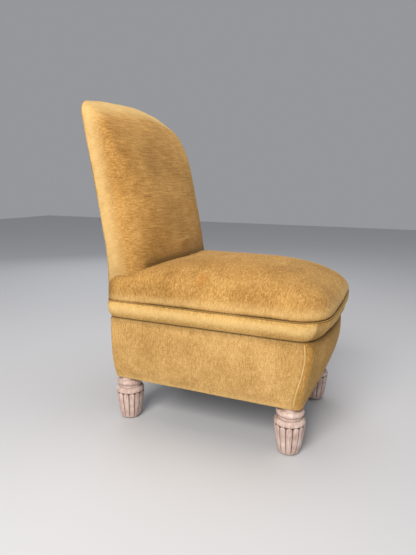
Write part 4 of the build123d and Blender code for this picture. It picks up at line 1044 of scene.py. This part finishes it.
# Springs and lacing, copied from the frame's parts and fixed to the chair
for node, name, slot, low, keep in (
    ("seat_springs", "coil_springs", "spring_steel", 120.0, 0.82),
    ("spring_lacing", "lacing_twine", "twine", 280.0, 0.05),
):
    wire = bpy.data.objects.new(name, frame["nodes"][node].data.copy())
    bpy.context.collection.objects.link(wire)
    place(wire, FINISHES[slot], slot, node)
    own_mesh(wire)

crown_cover = make_crown_cover()
rolls = [f"{side}_edge_roll" for side in SIDES]
place(crown_cover, SEAT_VELVET, "gold_velvet", "seat_top_cover", *rolls)
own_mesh(crown_cover)

# The front band and apron take the shaded copy of the velvet, as painted shade for the faces turned from the
# light
for side in SIDES:
    band = make_band(side)
    place(band, FRONT_SHADED_VELVET if side == "front" else BAND_VELVET, "gold_velvet", f"{side}_border")
    apron = make_apron(side)
    place(apron, FRONT_SHADED_VELVET if side == "front" else APRON_VELVET, "gold_velvet", f"{side}_apron_cover")

welt = make_welt()
place(welt, BAND_VELVET, "gold_velvet", "seat_welt")
for side, at_end in (("right", True), ("left", False)):
    ridge = make_corner_ridge(f"{side}_corner_ridge", side, at_end)
    dress(ridge, APRON_VELVET)
    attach(ridge, "chair")

back_cover = make_back_cover()
place(back_cover, BACK_VELVET, "gold_velvet", "inside_back_cover", "back_stuffing")
back_panel = make_back_panel()
place(back_panel, APRON_VELVET, "gold_velvet", "outside_back_cover")

for corner, leg_x, leg_y in (
    ("front_right", -LEG_X, FRONT_LEG_Y),
    ("front_left", LEG_X, FRONT_LEG_Y),
    ("rear_right", -LEG_X, REAR_LEG_Y),
    ("rear_left", LEG_X, REAR_LEG_Y),
):
    leg = make_leg(f"{corner}_reeded_leg", leg_x, leg_y)
    place(leg, LEG_WOOD, "limed_wood", f"{corner}_leg")

cloth = make_dust_cloth()
place(cloth, FINISHES["dust_cloth"], "dust_cloth", "dust_cover")

# Floor and light
floor_mesh = bpy.data.meshes.new("studio_floor")
floor_mesh.from_pydata([(-6, -6, 0), (6, -6, 0), (6, 6, 0), (-6, 6, 0)], [], [(0, 1, 2, 3)])
floor = bpy.data.objects.new("studio_floor", floor_mesh)
bpy.context.collection.objects.link(floor)
floor_paint, _, floor_shader = new_material("pale_floor")
set_inputs(floor_shader, {"Base Color": (0.62, 0.62, 0.64, 1.0), "Roughness": 0.7})
floor_mesh.materials.append(floor_paint)

world = bpy.data.worlds.new("soft_studio")
world.use_nodes = True
set_inputs(world.node_tree.nodes["Background"], {"Color": (0.80, 0.82, 0.86, 1.0), "Strength": 0.38})
bpy.context.scene.world = world


def lamp(name, place_at, look_at, size, power, colour):
    light = bpy.data.lights.new(name, "AREA")
    light.size = size
    light.energy = power
    light.color = colour
    obj = bpy.data.objects.new(name, light)
    obj.location = place_at
    obj.rotation_euler = (Vector(look_at) - Vector(place_at)).to_track_quat("-Z", "Y").to_euler()
    bpy.context.collection.objects.link(obj)


lamp("key_softbox", (-2.3, -0.1, 1.8), (0.0, 0.0, 0.4), 1.3, 72.0, (1.0, 0.97, 0.92))
lamp("top_softbox", (0.2, -0.3, 2.6), (0.0, 0.0, 0.3), 1.8, 20.0, (1.0, 0.98, 0.96))
lamp("rear_fill", (1.8, 1.6, 1.4), (0.0, 0.0, 0.4), 1.6, 8.0, (0.92, 0.95, 1.0))

# Camera, as fitted to the photograph
CAMERA_AT = (-1.1226, -0.42895, 0.600)
FOCAL_PIXELS, PHOTO_PIXELS = 464.1, 555.0
SENSOR = 36.0
yaw, pitch, roll = math.radians(66.80), math.radians(11.28), math.radians(-0.39)
ahead = Vector((math.sin(yaw) * math.cos(pitch), math.cos(yaw) * math.cos(pitch), -math.sin(pitch)))
level = Vector((math.cos(yaw), -math.sin(yaw), 0.0))
down = ahead.cross(level)
right = level * math.cos(roll) + down * math.sin(roll)
up = -(down * math.cos(roll) - level * math.sin(roll))
camera_data = bpy.data.cameras.new("photo_camera")
camera_data.sensor_width = SENSOR
camera_data.lens = SENSOR * FOCAL_PIXELS / PHOTO_PIXELS
camera = bpy.data.objects.new("photo_camera", camera_data)
axes = zip(right, up, -ahead, CAMERA_AT)
camera.matrix_world = Matrix((*axes, (0.0, 0.0, 0.0, 1.0)))
bpy.context.collection.objects.link(camera)
bpy.context.scene.camera = camera
bpy.context.scene.view_settings.view_transform = "Standard"
